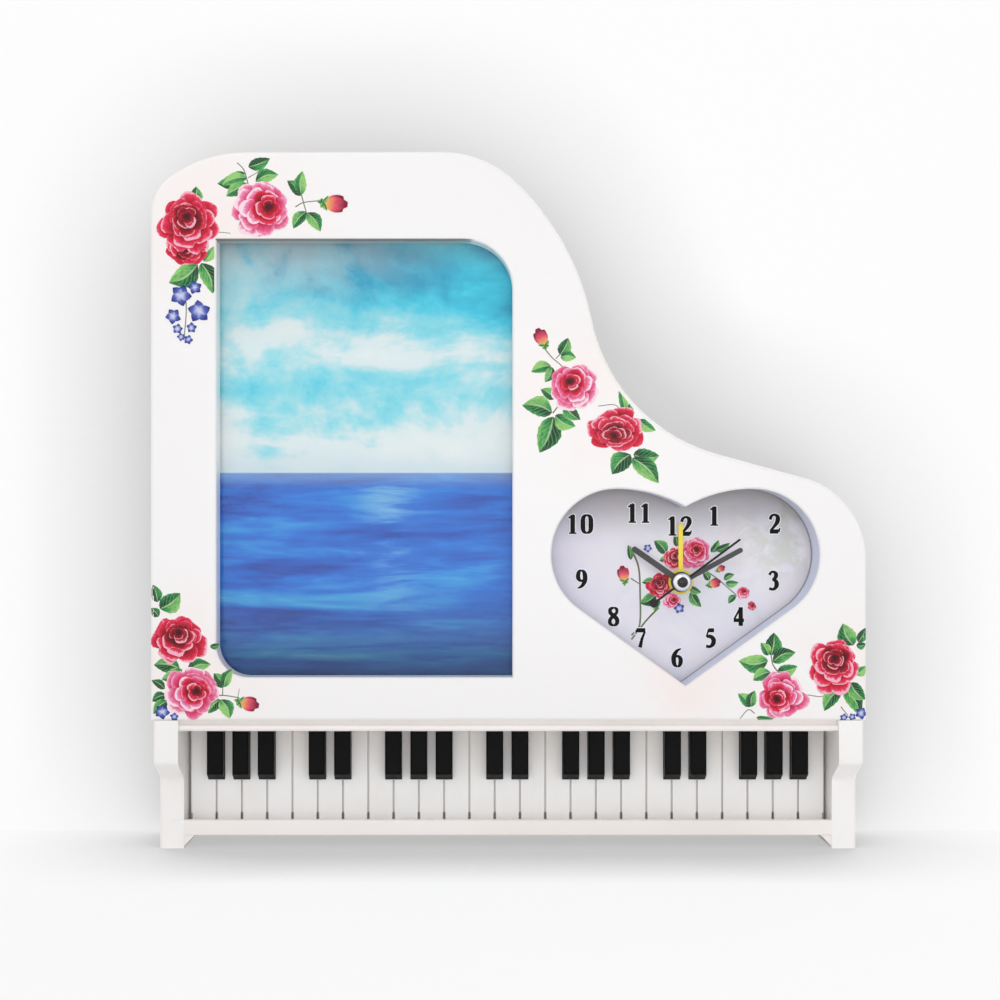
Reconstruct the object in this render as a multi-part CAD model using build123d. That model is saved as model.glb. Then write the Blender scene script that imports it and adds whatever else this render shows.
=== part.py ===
from build123d import *
import os
from math import acos, asin, atan2, cos, degrees, hypot, pi, radians, sin, sqrt, tan

# Table photo frame with an alarm clock, shaped like a grand piano seen from above
# and stood upright. Millimetres, X to the right, Y from the front to the back,
# Z up. The origin is on the table, under the middle of the case.
# Depths are counted backwards from the front face of the lid.

# Lid and shell
LID_WIDTH = 239.6
LID_TOP = 235.4
LID_BOTTOM = 45.0
LID_THICKNESS = 2.6
LID_EDGE_RADIUS = 1.2
SHELL_WALL = 2.4

# Round corner at the upper left: a tight arc, then a wide one
CORNER_SIDE_RADIUS = 14.7
CORNER_SIDE_TURN = 55.0
CORNER_TOP_RADIUS = 44.5

# Bent right side, from the top edge down: shoulder, flank, waist, run and nose.
# The shoulder starts to the left of the window's right edge.
SHOULDER_LAP = 24.0
SHOULDER_RADIUS = 36.2
SHOULDER_TURN = 43.6
FLANK_RADIUS = 87.7
FLANK_TURN = 35.0
WAIST_RADIUS = 58.8
WAIST_TURN = 63.2
RUN_LENGTH = 30.7
NOSE_RADIUS = 27.6

# Photograph, its pane and its board
PRINT_WIDTH = 101.6
PRINT_HEIGHT = 152.4
PRINT_THICKNESS = 0.3
PRINT_FIT = 0.3
PANE_THICKNESS = 1.5
BOARD_THICKNESS = 2.0
PANE_DEPTH = 8.0
WINDOW_LAP_SIDE = 1.2
WINDOW_LAP_END = 2.9
WINDOW_TOP_RADIUS = 16.5
WINDOW_LOW_RADIUS = 10.8
RIM_CHAMFER = 0.5
REVEAL_WALL = 1.8

# Margins of the window and the heart, which take up the spare width and height of the lid
WINDOW_FROM_LEFT = 22.0
WINDOW_TO_HEART = 12.9
HEART_FROM_RIGHT = 15.5
WINDOW_ABOVE_EDGE = 14.4
WINDOW_BELOW_TOP = 29.4

# Heart opening of the dial, measured from the hands' axis
HEART_ABOVE_NOSE = 23.2
HUB_ABOVE_EDGE = 45.9
HEART_HALF_WIDTH = 45.0
HEART_RISE = 31.7
HEART_DROP = 34.4
LOBE_RADIUS = 22.2
DIP_RADIUS = 46.0
HEART_WALL = 2.0
DIAL_DEPTH = 14.8
DIAL_THICKNESS = 1.2
DIAL_EDGE_FIT = 0.2

# Keyboard
KEY_COUNT = 25
KEY_END_GAP = 1.1
KEY_GROOVE = 0.7
KEY_GROOVE_DEPTH = 1.6
WHITE_DEPTH = 19.0
WHITE_THICKNESS = 2.6
BLACK_WIDTH = 5.6
BLACK_LENGTH = 20.7
BLACK_RISE = 4.0
BLACK_NOSE = 2.4
BLACK_EDGE = 0.5
BLACK_FIT = 0.15
COMB_THICKNESS = 1.4
COMB_MARGIN = 4.0
STAKE_RADIUS = 1.5
STAKE_HEAD_RADIUS = 2.4
STAKE_HEAD = 0.8
STAKE_ABOVE_FLOOR = 5.0

# Lower housing of the keyboard
BED_WALL = 2.0
BED_FLOOR_Z = 4.4
RAIL_DEPTH = 1.6
RAIL_STEP = 1.6
RAIL_THICKNESS = 3.4
RAIL_HEIGHT = 3.9
RAIL_BEAD = 2.1
SLIP_THICKNESS = 2.2
SLIP_HEIGHT = 5.2
GUSSET = 3.6

# Cheeks, which are also the feet
CHEEK_INSET = 1.0
CHEEK_THICKNESS = 8.2
CHEEK_STEP_DEPTH = 10.8
CHEEK_BLOCK = 14.6
CHEEK_SLOPE = 6.4
CHEEK_ARRIS = 2.6
CHEEK_EDGE = 0.8

# Rear cover and photo door
COVER_THICKNESS = 2.4
COVER_FIT = 0.2
DOOR_MARGIN = 1.6
DOOR_FIT = 0.3
DOOR_RADIUS = 2.5
DOOR_RING_INSET = 12.0
DOOR_RING_WALL = 1.8
FINGER_RADIUS = 9.0
FINGER_SINK = 1.3
MOVEMENT_HOLE_FIT = 1.6
MOVEMENT_HOLE_RADIUS = 4.0

# Screws and the bosses that they enter. Small round sections have flats.
PEG_SIDES = 10
SHANK_RADIUS = 1.1
SCREW_BITE = 8.0
CHEEK_BITE = 6.0
PILLAR_BITE = 5.0
HEAD_RADIUS = 2.3
HEAD_HEIGHT = 1.2
SCREW_FIT = 0.2
PILOT_SPARE = 2.0
BOSS_RADIUS = 3.2
BOSS_INSET = 7.4
NOSE_BOSS_INSET = 5.9
BED_SCREW_SPAN = 84.0
BED_BOSS_HEIGHT = 9.0
BED_SCREW_DEPTH = 31.0
CHEEK_SCREW_GAP = 20.0
LOWER_BOSS_SPAN = 66.0

# Clock movement, with depths counted from its own front face
BATTERY_DIAMETER = 14.5
BATTERY_LENGTH = 50.5
BATTERY_NUB_RADIUS = 2.7
BATTERY_NUB = 1.3
BAY_FIT = 0.25
CONTACT_ROOM = 1.2
CONTACT_THICKNESS = 0.4
CONTACT_SIZE = 9.0
CASE_WALL = 1.5
CASE_FLOOR = 1.5
CASE_RADIUS = 3.0
CASE_COVER = 1.4
BAY_BELOW_HUB = 12.2
PARTITION = 1.2
ROOM_ABOVE_HUB = 26.5
EAR_RADIUS = 3.4
CRADLE_SPAN = 30.0
CRADLE_THICKNESS = 2.0
CRADLE_HEIGHT = 3.5

# Wheel train
GEAR_THICKNESS = 1.0
LAYER_GAP = 0.35
PRESSURE_ANGLE = 30.0
ADDENDUM = 0.7
DEDENDUM = 0.95
BACKLASH = 0.12
THIRD_CENTRES = 9.0
ROTOR_CENTRES = 6.3
ALARM_CENTRES = 10.4
STEP_ARBOR_GAP = 0.45
SET_ARBOR_GAP = 0.4
THIRD_DIRECTION = 52.3
STEP_DIRECTION = 200.0
ROTOR_DIRECTION = 175.0
SET_DIRECTION = 143.1
ALARM_DIRECTION = -16.5
CENTRE_TEETH = 48
THIRD_TEETH = 45
SECOND_TEETH = 30
STEP_TEETH = 36
LEAF_COUNT = 6
CANNON_LEAVES = 8
MINUTE_TEETH = 24
HOUR_TEETH = 32
ALARM_LEAVES = 10
ALARM_TEETH = 40

# Arbors, nested pipes and running fits
RUNNING_FIT = 0.07
ARBOR_RADIUS = 0.5
SET_ARBOR_RADIUS = 1.0
SECOND_ARBOR_RADIUS = 0.55
PIPE_WALL = 0.56
BUSHING_WALL = 0.85
BUSHING_STANDOUT = 0.6
PIVOT_DEPTH = 0.9
BRIDGE_GAP = 0.4
BRIDGE_THICKNESS = 1.2
MIDDLE_THICKNESS = 0.8
PILLAR_RADIUS = 2.0
PILLAR_SHOULDER = 0.7
PILLARS = [(-17.5, 15.0), (17.5, 2.0), (-2.5, 17.0)]

# Stepping motor
MAGNET_RADIUS = 1.6
MAGNET_LENGTH = 1.6
STATOR_GAP = 0.5
STATOR_THICKNESS = 0.8
STATOR_HALF_HEIGHT = 6.9
STATOR_POLE = 4.6
STATOR_REACH = 11.0
COIL_OFFSET = 8.5
COIL_RADIUS = 3.0
COIL_HALF_LENGTH = 4.5
COIL_SLEEVE = 1.6
COIL_FLANGE = 0.6
CORE_HALF_WIDTH = 1.0

# Circuit, alarm switch and sounder
BOARD_WIDTH = 19.0
BOARD_HEIGHT = 18.0
BOARD_LEFT = 2.0
BOARD_LOW = 6.2
CIRCUIT_THICKNESS = 1.0
CRYSTAL_RADIUS = 0.8
CRYSTAL_LENGTH = 8.0
CHIP_RADIUS = 2.0
BUZZER_RADIUS = 8.0
BUZZER_THICKNESS = 0.8
SOUND_HOLE_RADIUS = 0.8
BUZZER_AT = (-14.5, 16.0)
SWITCH_AT = (14.0, 13.0)
SWITCH_TRAVEL = 3.0
SWITCH_PLATE = 0.8
SWITCH_TAB_WIDTH = 3.0
SWITCH_TAB_HEIGHT = 2.4
SWITCH_TAB_RISE = 1.6
SWITCH_FIT = 0.2

# Knobs
KNOB_RADIUS = 5.0
ALARM_KNOB_RADIUS = 4.2
KNOB_HEIGHT = 3.4
KNOB_GAP = 0.3
KNOB_RECESS = 2.4
KNOB_BORE = 2.2
KNOB_FLUTES = 20
FLUTE_DEPTH = 0.5

# Hands, with angles clockwise from twelve
HAND_GAP = 0.9
HAND_THICKNESS = 0.5
ALARM_ANGLE = 0.0
ALARM_LENGTH = 20.0
ALARM_HAND_WIDTH = 1.5
ALARM_HUB_RADIUS = 4.2
HOUR_ANGLE = 305.0
HOUR_LENGTH = 20.4
HOUR_HAND_WIDTH = 2.0
HOUR_HUB_RADIUS = 3.5
MINUTE_ANGLE = 61.5
MINUTE_LENGTH = 23.6
MINUTE_HAND_WIDTH = 1.7
MINUTE_HUB_RADIUS = 3.2
SECOND_ANGLE = 53.5
SECOND_LENGTH = 24.6
SECOND_HAND_WIDTH = 0.7
SECOND_HUB_RADIUS = 2.4
SECOND_TAIL = 12.0
SECOND_DISC_RADIUS = 1.5
CAP_RADIUS = 3.1
CAP_HEIGHT = 1.3

# Places that follow from the sizes above
PRINT_BACK = PANE_DEPTH + PANE_THICKNESS + PRINT_THICKNESS
BOARD_BACK = PRINT_BACK + BOARD_THICKNESS
WINDOW_WIDTH = PRINT_WIDTH - 2 * WINDOW_LAP_SIDE
WINDOW_HEIGHT = PRINT_HEIGHT - 2 * WINDOW_LAP_END
SPARE_WIDTH = LID_WIDTH - WINDOW_WIDTH - 2 * HEART_HALF_WIDTH
SPARE_HEIGHT = LID_TOP - LID_BOTTOM - WINDOW_HEIGHT
ACROSS = SPARE_WIDTH / (WINDOW_FROM_LEFT + WINDOW_TO_HEART + HEART_FROM_RIGHT)
UPWARD = SPARE_HEIGHT / (WINDOW_ABOVE_EDGE + WINDOW_BELOW_TOP)
PHOTO_X = -LID_WIDTH / 2 + ACROSS * WINDOW_FROM_LEFT + WINDOW_WIDTH / 2
PHOTO_Z = LID_BOTTOM + UPWARD * WINDOW_ABOVE_EDGE + WINDOW_HEIGHT / 2
DOOR_FROM_LEFT = ACROSS * WINDOW_FROM_LEFT - WINDOW_LAP_SIDE - DOOR_MARGIN
DOOR_BELOW_TOP = UPWARD * WINDOW_BELOW_TOP - WINDOW_LAP_END - DOOR_MARGIN
HUB_X = LID_WIDTH / 2 - ACROSS * HEART_FROM_RIGHT - HEART_HALF_WIDTH
HUB_Z = LID_BOTTOM + HUB_ABOVE_EDGE
MOVEMENT_FRONT = DIAL_DEPTH + DIAL_THICKNESS
CASE_BACK = CASE_FLOOR + BATTERY_DIAMETER + 2 * BAY_FIT
MOVEMENT_BACK = MOVEMENT_FRONT + CASE_BACK + CASE_COVER
KNOB_FRONT = MOVEMENT_BACK + KNOB_GAP
DEPTH = KNOB_FRONT + KNOB_HEIGHT + KNOB_RECESS
COVER_FRONT = DEPTH - COVER_THICKNESS
MOVEMENT_HALF_WIDTH = BATTERY_LENGTH / 2 + CONTACT_ROOM + CASE_WALL
BAY_HEIGHT = BATTERY_DIAMETER + 2 * BAY_FIT
MOVEMENT_LOW = -BAY_BELOW_HUB - BAY_HEIGHT - CASE_WALL
MOVEMENT_HIGH = ROOM_ABOVE_HUB + CASE_WALL
BATTERY_W = -BAY_BELOW_HUB - BAY_HEIGHT / 2
BATTERY_DEPTH = CASE_FLOOR + BAY_FIT + BATTERY_DIAMETER / 2
CHEEK_OUTER = LID_WIDTH / 2 - CHEEK_INSET
CHEEK_INNER = CHEEK_OUTER - CHEEK_THICKNESS
KEY_PITCH = 2 * (CHEEK_INNER - KEY_END_GAP) / KEY_COUNT
WHITE_BACK = WHITE_DEPTH + WHITE_THICKNESS
COMB_BACK = WHITE_BACK + COMB_THICKNESS
KEY_TOP = LID_BOTTOM - BED_WALL
KEY_LOW = BED_FLOOR_Z + BED_WALL
RAIL_BACK = RAIL_DEPTH + RAIL_THICKNESS
SLIP_BACK = CHEEK_STEP_DEPTH + SLIP_THICKNESS
BED_BACK = COMB_BACK + BED_WALL
STAKE_Z = KEY_LOW + STAKE_ABOVE_FLOOR
MIDDLE_FRONT = CASE_FLOOR + 3 * (LAYER_GAP + GEAR_THICKNESS) + LAYER_GAP
MIDDLE_BACK = MIDDLE_FRONT + MIDDLE_THICKNESS
BRIDGE_FRONT = MIDDLE_BACK + 4 * (LAYER_GAP + GEAR_THICKNESS) + BRIDGE_GAP
BRIDGE_BACK = BRIDGE_FRONT + BRIDGE_THICKNESS

# Nested pipes, from the inside out
MINUTE_BORE = SECOND_ARBOR_RADIUS + RUNNING_FIT
MINUTE_PIPE = MINUTE_BORE + PIPE_WALL
HOUR_BORE = MINUTE_PIPE + RUNNING_FIT
HOUR_PIPE = HOUR_BORE + PIPE_WALL
ALARM_BORE = HOUR_PIPE + RUNNING_FIT
ALARM_PIPE = ALARM_BORE + PIPE_WALL
BUSHING_BORE = ALARM_PIPE + RUNNING_FIT
BUSHING_RADIUS = BUSHING_BORE + BUSHING_WALL

# Hands from the dial outwards: depth of the front face of each
ALARM_HAND_FRONT = DIAL_DEPTH - BUSHING_STANDOUT - HAND_GAP - HAND_THICKNESS
HOUR_HAND_FRONT = ALARM_HAND_FRONT - HAND_GAP - HAND_THICKNESS
MINUTE_HAND_FRONT = HOUR_HAND_FRONT - HAND_GAP - HAND_THICKNESS
SECOND_HAND_FRONT = MINUTE_HAND_FRONT - HAND_GAP - HAND_THICKNESS

# Gear modules from the centre distances
CENTRE_MODULE = 2 * THIRD_CENTRES / (CENTRE_TEETH + LEAF_COUNT)
THIRD_MODULE = 2 * THIRD_CENTRES / (THIRD_TEETH + LEAF_COUNT)
STEP_MODULE = 2 * ROTOR_CENTRES / (STEP_TEETH + LEAF_COUNT)
ALARM_MODULE = 2 * ALARM_CENTRES / (ALARM_TEETH + ALARM_LEAVES)
CENTRE_TIP = CENTRE_MODULE * (CENTRE_TEETH / 2 + ADDENDUM)
ALARM_TIP = ALARM_MODULE * (ALARM_TEETH / 2 + ADDENDUM)
STEP_CENTRES = CENTRE_TIP + ARBOR_RADIUS + STEP_ARBOR_GAP
SECOND_MODULE = 2 * STEP_CENTRES / (SECOND_TEETH + LEAF_COUNT)
SECOND_TIP = SECOND_MODULE * (SECOND_TEETH / 2 + ADDENDUM)
SET_CENTRES = max(CENTRE_TIP, ALARM_TIP, SECOND_TIP) + SET_ARBOR_RADIUS + SET_ARBOR_GAP
MINUTE_MODULE = 2 * SET_CENTRES / (MINUTE_TEETH + CANNON_LEAVES)
HOUR_MODULE = 2 * SET_CENTRES / (HOUR_TEETH + CANNON_LEAVES)


def polar(distance, direction):
    """Point at a distance and a direction, in degrees, from the hub."""
    return (distance * cos(radians(direction)), distance * sin(radians(direction)))


THIRD_AT = polar(THIRD_CENTRES, THIRD_DIRECTION)
STEP_AT = polar(STEP_CENTRES, STEP_DIRECTION)
ROTOR_STEP = polar(ROTOR_CENTRES, ROTOR_DIRECTION)
ROTOR_AT = (STEP_AT[0] + ROTOR_STEP[0], STEP_AT[1] + ROTOR_STEP[1])
SET_AT = polar(SET_CENTRES, SET_DIRECTION)
ALARM_AT = polar(ALARM_CENTRES, ALARM_DIRECTION)
HUB_AT = (0.0, 0.0)


def slab(face, front, back):
    """Extrude a face drawn in X and Z between two depths behind the lid's front."""
    plane = Plane(origin=(0, back - DEPTH / 2, 0), x_dir=(1, 0, 0), z_dir=(0, -1, 0))
    return extrude(plane * face, amount=back - front)


def prism_x(face, left, right):
    """Extrude a profile drawn in depth and Z between two places on X."""
    plane = Plane(origin=(left, -DEPTH / 2, 0), x_dir=(0, 1, 0), z_dir=(1, 0, 0))
    return extrude(plane * face, amount=right - left)


def span(first, second, low, high):
    """Rectangle from its left and right, and its lower and upper limits."""
    return Pos((first + second) / 2, (low + high) / 2) * Rectangle(second - first, high - low)


def in_clock(place, face):
    """Move a face from the hub's own coordinates to the case."""
    return Pos(HUB_X + place[0], HUB_Z + place[1]) * face


def clock_slab(face, front, back, place=HUB_AT):
    """Slab of a face about a place on the movement, with depths from its front."""
    return slab(in_clock(place, face), MOVEMENT_FRONT + front, MOVEMENT_FRONT + back)


def rod(place, radius, front, back):
    """Round bar of the movement."""
    return clock_slab(Circle(radius), front, back, place)


def peg(radius):
    """Section of a boss, a post or a screw."""
    return RegularPolygon(radius, PEG_SIDES)


def post(place, radius, front, back):
    """Post or hole of the movement."""
    return clock_slab(peg(radius), front, back, place)


def pipe(place, radius, bore, front, back):
    """Round tube of the movement."""
    return clock_slab(Circle(radius) - Circle(bore), front, back, place)


def tongue(start, end, radius):
    """Strip with round ends between two points."""
    run = (end[0] - start[0], end[1] - start[1])
    middle = Pos((start[0] + end[0]) / 2, (start[1] + end[1]) / 2)
    turn = Rot(0, 0, degrees(atan2(run[1], run[0])))
    return middle * turn * SlotCenterToCenter(hypot(run[0], run[1]), 2 * radius)


def bar(place, along, radius, length):
    """Straight bar with flats from a place, turned alike for a screw and its hole."""
    across = (0, 1, 0) if along[0] else (1, 0, 0)
    plane = Plane(origin=place, x_dir=across, z_dir=along)
    return extrude(plane * peg(radius), amount=length)


def screw(place, outward, length):
    """Screw whose head sits at a place, with its shank going the other way."""
    inward = tuple(-step for step in outward)
    head = bar(place, outward, HEAD_RADIUS, HEAD_HEIGHT)
    return head + bar(place, inward, SHANK_RADIUS, length)


def bent_side(start, size):
    """Edges of the bent right side, clockwise from the end of the top edge."""
    shoulder = JernArc(start, (1, 0), size * SHOULDER_RADIUS, -SHOULDER_TURN)
    flank = JernArc(shoulder @ 1, shoulder % 1, size * FLANK_RADIUS, -FLANK_TURN)
    waist = JernArc(flank @ 1, flank % 1, size * WAIST_RADIUS, WAIST_TURN)
    run = Line(waist @ 1, (waist @ 1) + (waist % 1) * size * RUN_LENGTH)
    rest = SHOULDER_TURN + FLANK_TURN - WAIST_TURN - 90
    nose = JernArc(run @ 1, run % 1, size * NOSE_RADIUS, rest)
    return [shoulder, flank, waist, run, nose]


def placed_side():
    """Bent side that fits between the window, the heart and the right edge of the lid."""
    end = bent_side((0, 0), 1)[-1] @ 1
    down = LID_TOP - HUB_Z - HEART_RISE + HEART_ABOVE_NOSE
    over = LID_WIDTH / 2 - PHOTO_X - WINDOW_WIDTH / 2 + SHOULDER_LAP
    size = min(-down / end.Y, over / end.X)
    return bent_side((LID_WIDTH / 2 - size * end.X, LID_TOP), size)


def lid_outline():
    """Outline of the lid, the plan of a grand piano."""
    side = placed_side()
    turn = radians(CORNER_SIDE_TURN)
    corner_drop = CORNER_SIDE_RADIUS * sin(turn) + CORNER_TOP_RADIUS * (1 - sin(turn))
    low_left = (-LID_WIDTH / 2, LID_BOTTOM)
    low_right = (LID_WIDTH / 2, LID_BOTTOM)
    left = Line(low_left, (-LID_WIDTH / 2, LID_TOP - corner_drop))
    tight = JernArc(left @ 1, (0, 1), CORNER_SIDE_RADIUS, -CORNER_SIDE_TURN)
    wide = JernArc(tight @ 1, tight % 1, CORNER_TOP_RADIUS, CORNER_SIDE_TURN - 90)
    top = Line(wide @ 1, side[0] @ 0)
    right = Line(side[-1] @ 1, low_right)
    bottom = Line(low_right, low_left)
    return make_face([left, tight, wide, top] + side + [right, bottom])


def beside(edge, where, inset):
    """Point inside the lid, at a distance from a point of its outline."""
    point = edge @ where
    along = edge % where
    return (point.X + along.Y * inset, point.Y - along.X * inset)


def cover_points():
    """Screws of the rear cover in the shell."""
    side = placed_side()
    left = -LID_WIDTH / 2 + (SHELL_WALL + DOOR_FROM_LEFT) / 2
    high = LID_TOP - (SHELL_WALL + DOOR_BELOW_TOP) / 2
    right = LID_WIDTH / 2 - SHELL_WALL - BOSS_INSET
    low = LID_BOTTOM + SHELL_WALL + BOSS_INSET
    inset = SHELL_WALL + BOSS_INSET
    return [
        (left, low),
        (left, PHOTO_Z + WINDOW_HEIGHT / 4),
        (PHOTO_X, high),
        beside(side[1], 0.8, inset),
        beside(side[4], 0.55, SHELL_WALL + NOSE_BOSS_INSET),
        (right, low),
    ]


def lower_points():
    """Screws of the rear cover in the keyboard housing."""
    middle = (BED_FLOOR_Z + LID_BOTTOM) / 2
    return [(-LOWER_BOSS_SPAN, middle), (LOWER_BOSS_SPAN, middle)]


def heart_corner():
    """Right-hand point where the lobe runs into the straight side, from the hub."""
    lobe = (HEART_HALF_WIDTH - LOBE_RADIUS, HEART_RISE - LOBE_RADIUS)
    reach = hypot(lobe[0], lobe[1] + HEART_DROP)
    slope = atan2(lobe[1] + HEART_DROP, lobe[0]) - asin(LOBE_RADIUS / reach)
    length = sqrt(reach**2 - LOBE_RADIUS**2)
    return (length * cos(slope), length * sin(slope) - HEART_DROP), slope


def heart_half(side):
    """Edges of one half of the heart from the dip to the tip, side 1 or -1."""
    corner, slope = heart_corner()
    lobe = (HEART_HALF_WIDTH - LOBE_RADIUS, HEART_RISE - LOBE_RADIUS)
    dip = HEART_RISE - DIP_RADIUS + sqrt(DIP_RADIUS**2 - lobe[0] ** 2)
    half_dip = asin(lobe[0] / DIP_RADIUS) / 2
    swell = (lobe[0] - DIP_RADIUS * sin(half_dip), HEART_RISE - DIP_RADIUS * (1 - cos(half_dip)))
    turn = slope / 2
    cheek = (lobe[0] + LOBE_RADIUS * cos(turn), lobe[1] + LOBE_RADIUS * sin(turn))
    places = [(0, dip), swell, (lobe[0], HEART_RISE), cheek, corner, (0, -HEART_DROP)]
    spots = [(HUB_X + side * x, HUB_Z + z) for x, z in places]
    return [
        ThreePointArc(spots[0], spots[1], spots[2]),
        ThreePointArc(spots[2], spots[3], spots[4]),
        Line(spots[4], spots[5]),
    ]


def heart_outline():
    """Heart-shaped opening in front of the dial."""
    return make_face(heart_half(1) + heart_half(-1))


def dial_points():
    """Screws of the dial and the movement, from the hub: two low ones and one high."""
    corner, slope = heart_corner()
    away = HEART_WALL + BOSS_RADIUS - SHELL_WALL / 4
    low = (corner[0] + away * sin(slope), corner[1] - away * cos(slope))
    lobe_x = HEART_HALF_WIDTH - LOBE_RADIUS
    dip = HEART_RISE - DIP_RADIUS + sqrt(DIP_RADIUS**2 - lobe_x**2)
    top = max(dip + HEART_WALL + BOSS_RADIUS, MOVEMENT_HIGH + HEAD_RADIUS + SCREW_FIT)
    return [low, (-low[0], low[1]), (0, top)]


def window_outline(grow=0.0):
    """Photo window: two opposite corners round, the other two square."""
    face = Rectangle(WINDOW_WIDTH, WINDOW_HEIGHT)
    corners = face.vertices()
    face = fillet(corners.group_by(Axis.Y)[-1].sort_by(Axis.X)[-1:], WINDOW_TOP_RADIUS)
    low = face.vertices().group_by(Axis.Y)[0].sort_by(Axis.X)[:1]
    face = fillet(low, WINDOW_LOW_RADIUS)
    if grow:
        face = offset(face, amount=grow, kind=Kind.INTERSECTION)
    return Pos(PHOTO_X, PHOTO_Z) * face


def photo_rectangle(grow):
    """Rectangle of the photograph, grown on every side."""
    return Pos(PHOTO_X, PHOTO_Z) * Rectangle(PRINT_WIDTH + 2 * grow, PRINT_HEIGHT + 2 * grow)


def front_shell():
    """Lid with its side walls, the window reveal, the heart well and the bosses."""
    shell = slab(lid_outline(), 0, DEPTH)
    shell = fillet(shell.faces().sort_by(Axis.Y)[0].edges(), LID_EDGE_RADIUS)
    shell -= slab(offset(lid_outline(), amount=-SHELL_WALL), LID_THICKNESS, DEPTH)
    reach = CHEEK_INNER
    shell -= slab(span(-reach, reach, LID_BOTTOM - 1, LID_BOTTOM + SHELL_WALL), COVER_FRONT, DEPTH + 1)
    shell += slab(window_outline(REVEAL_WALL), LID_THICKNESS, PANE_DEPTH)
    shell += slab(photo_rectangle(PRINT_FIT + REVEAL_WALL), PANE_DEPTH - REVEAL_WALL, BOARD_BACK)
    shell -= slab(photo_rectangle(PRINT_FIT), PANE_DEPTH, BOARD_BACK)
    shell += slab(offset(heart_outline(), amount=HEART_WALL), LID_THICKNESS, DIAL_DEPTH)
    for place in dial_points():
        shell += slab(in_clock(place, peg(BOSS_RADIUS)), LID_THICKNESS, DIAL_DEPTH)
    for place in cover_points():
        shell += slab(Pos(place) * peg(BOSS_RADIUS), LID_THICKNESS, COVER_FRONT)
    for place in bed_points():
        shell += bar(place, (0, 0, 1), BOSS_RADIUS, BED_BOSS_HEIGHT)
    shell -= slab(window_outline(), -1, PANE_DEPTH)
    shell -= slab(heart_outline(), -1, DIAL_DEPTH)
    rims = [e for e in shell.faces().sort_by(Axis.Y)[0].inner_wires().edges()]
    shell = chamfer(rims, RIM_CHAMFER)
    bite = SCREW_BITE + PILOT_SPARE
    for place in dial_points():
        shell -= slab(in_clock(place, peg(SHANK_RADIUS)), DIAL_DEPTH - bite, DIAL_DEPTH)
    for place in cover_points():
        shell -= slab(Pos(place) * peg(SHANK_RADIUS), COVER_FRONT - bite, COVER_FRONT)
    for place in bed_points():
        shell -= bar(place, (0, 0, 1), SHANK_RADIUS, SCREW_BITE)
    return shell


def bed_points():
    """Screws of the keyboard housing, on the lower edge of the shell."""
    y = BED_SCREW_DEPTH - DEPTH / 2
    return [(side * BED_SCREW_SPAN, y, LID_BOTTOM) for side in (-1, 0, 1)]


def rear_cover():
    """Flat back of the case, with openings for the photo door and the movement."""
    face = offset(lid_outline(), amount=-SHELL_WALL - COVER_FIT)
    reach = CHEEK_INNER - COVER_FIT
    face += span(-reach, reach, BED_FLOOR_Z, LID_BOTTOM + 2 * SHELL_WALL)
    face -= door_face(0)
    face -= movement_face(MOVEMENT_HOLE_FIT, MOVEMENT_HOLE_RADIUS)
    cover = slab(face, COVER_FRONT, DEPTH)
    for place in cover_points() + lower_points():
        cover -= slab(Pos(place) * peg(SHANK_RADIUS + SCREW_FIT), COVER_FRONT, DEPTH)
        cover -= slab(Pos(place) * peg(HEAD_RADIUS + SCREW_FIT), DEPTH - HEAD_HEIGHT, DEPTH)
    return cover


def cover_screws():
    """Screws of the rear cover, sunk flush."""
    length = COVER_THICKNESS - HEAD_HEIGHT + SCREW_BITE
    level = DEPTH / 2 - HEAD_HEIGHT
    places = cover_points() + lower_points()
    return [screw((x, level, z), (0, 1, 0), length) for x, z in places]


def door_face(fit):
    """Outline of the photo door, or of its opening when the fit is nothing."""
    width = PRINT_WIDTH + 2 * DOOR_MARGIN - 2 * fit
    height = PRINT_HEIGHT + 2 * DOOR_MARGIN - 2 * fit
    return Pos(PHOTO_X, PHOTO_Z) * RectangleRounded(width, height, DOOR_RADIUS - fit)


def photo_door():
    """Door behind the photograph: a plate with a ring that presses on the board."""
    door = slab(door_face(DOOR_FIT), COVER_FRONT, DEPTH)
    inner = photo_rectangle(-DOOR_RING_INSET - DOOR_RING_WALL)
    ring = photo_rectangle(-DOOR_RING_INSET) - inner
    door += slab(ring, BOARD_BACK, COVER_FRONT)
    edge = PHOTO_Z + PRINT_HEIGHT / 2 + DOOR_MARGIN
    finger = Pos(PHOTO_X, edge) * Circle(FINGER_RADIUS)
    door -= slab(finger, DEPTH - FINGER_SINK, DEPTH)
    return door


def photo_pane():
    """Clear pane in front of the photograph."""
    return slab(photo_rectangle(0), PANE_DEPTH, PANE_DEPTH + PANE_THICKNESS)


def photo_print():
    """Photograph on paper."""
    return slab(photo_rectangle(0), PRINT_BACK - PRINT_THICKNESS, PRINT_BACK)


def backing_board():
    """Board behind the photograph."""
    return slab(photo_rectangle(0), PRINT_BACK, BOARD_BACK)


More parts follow.
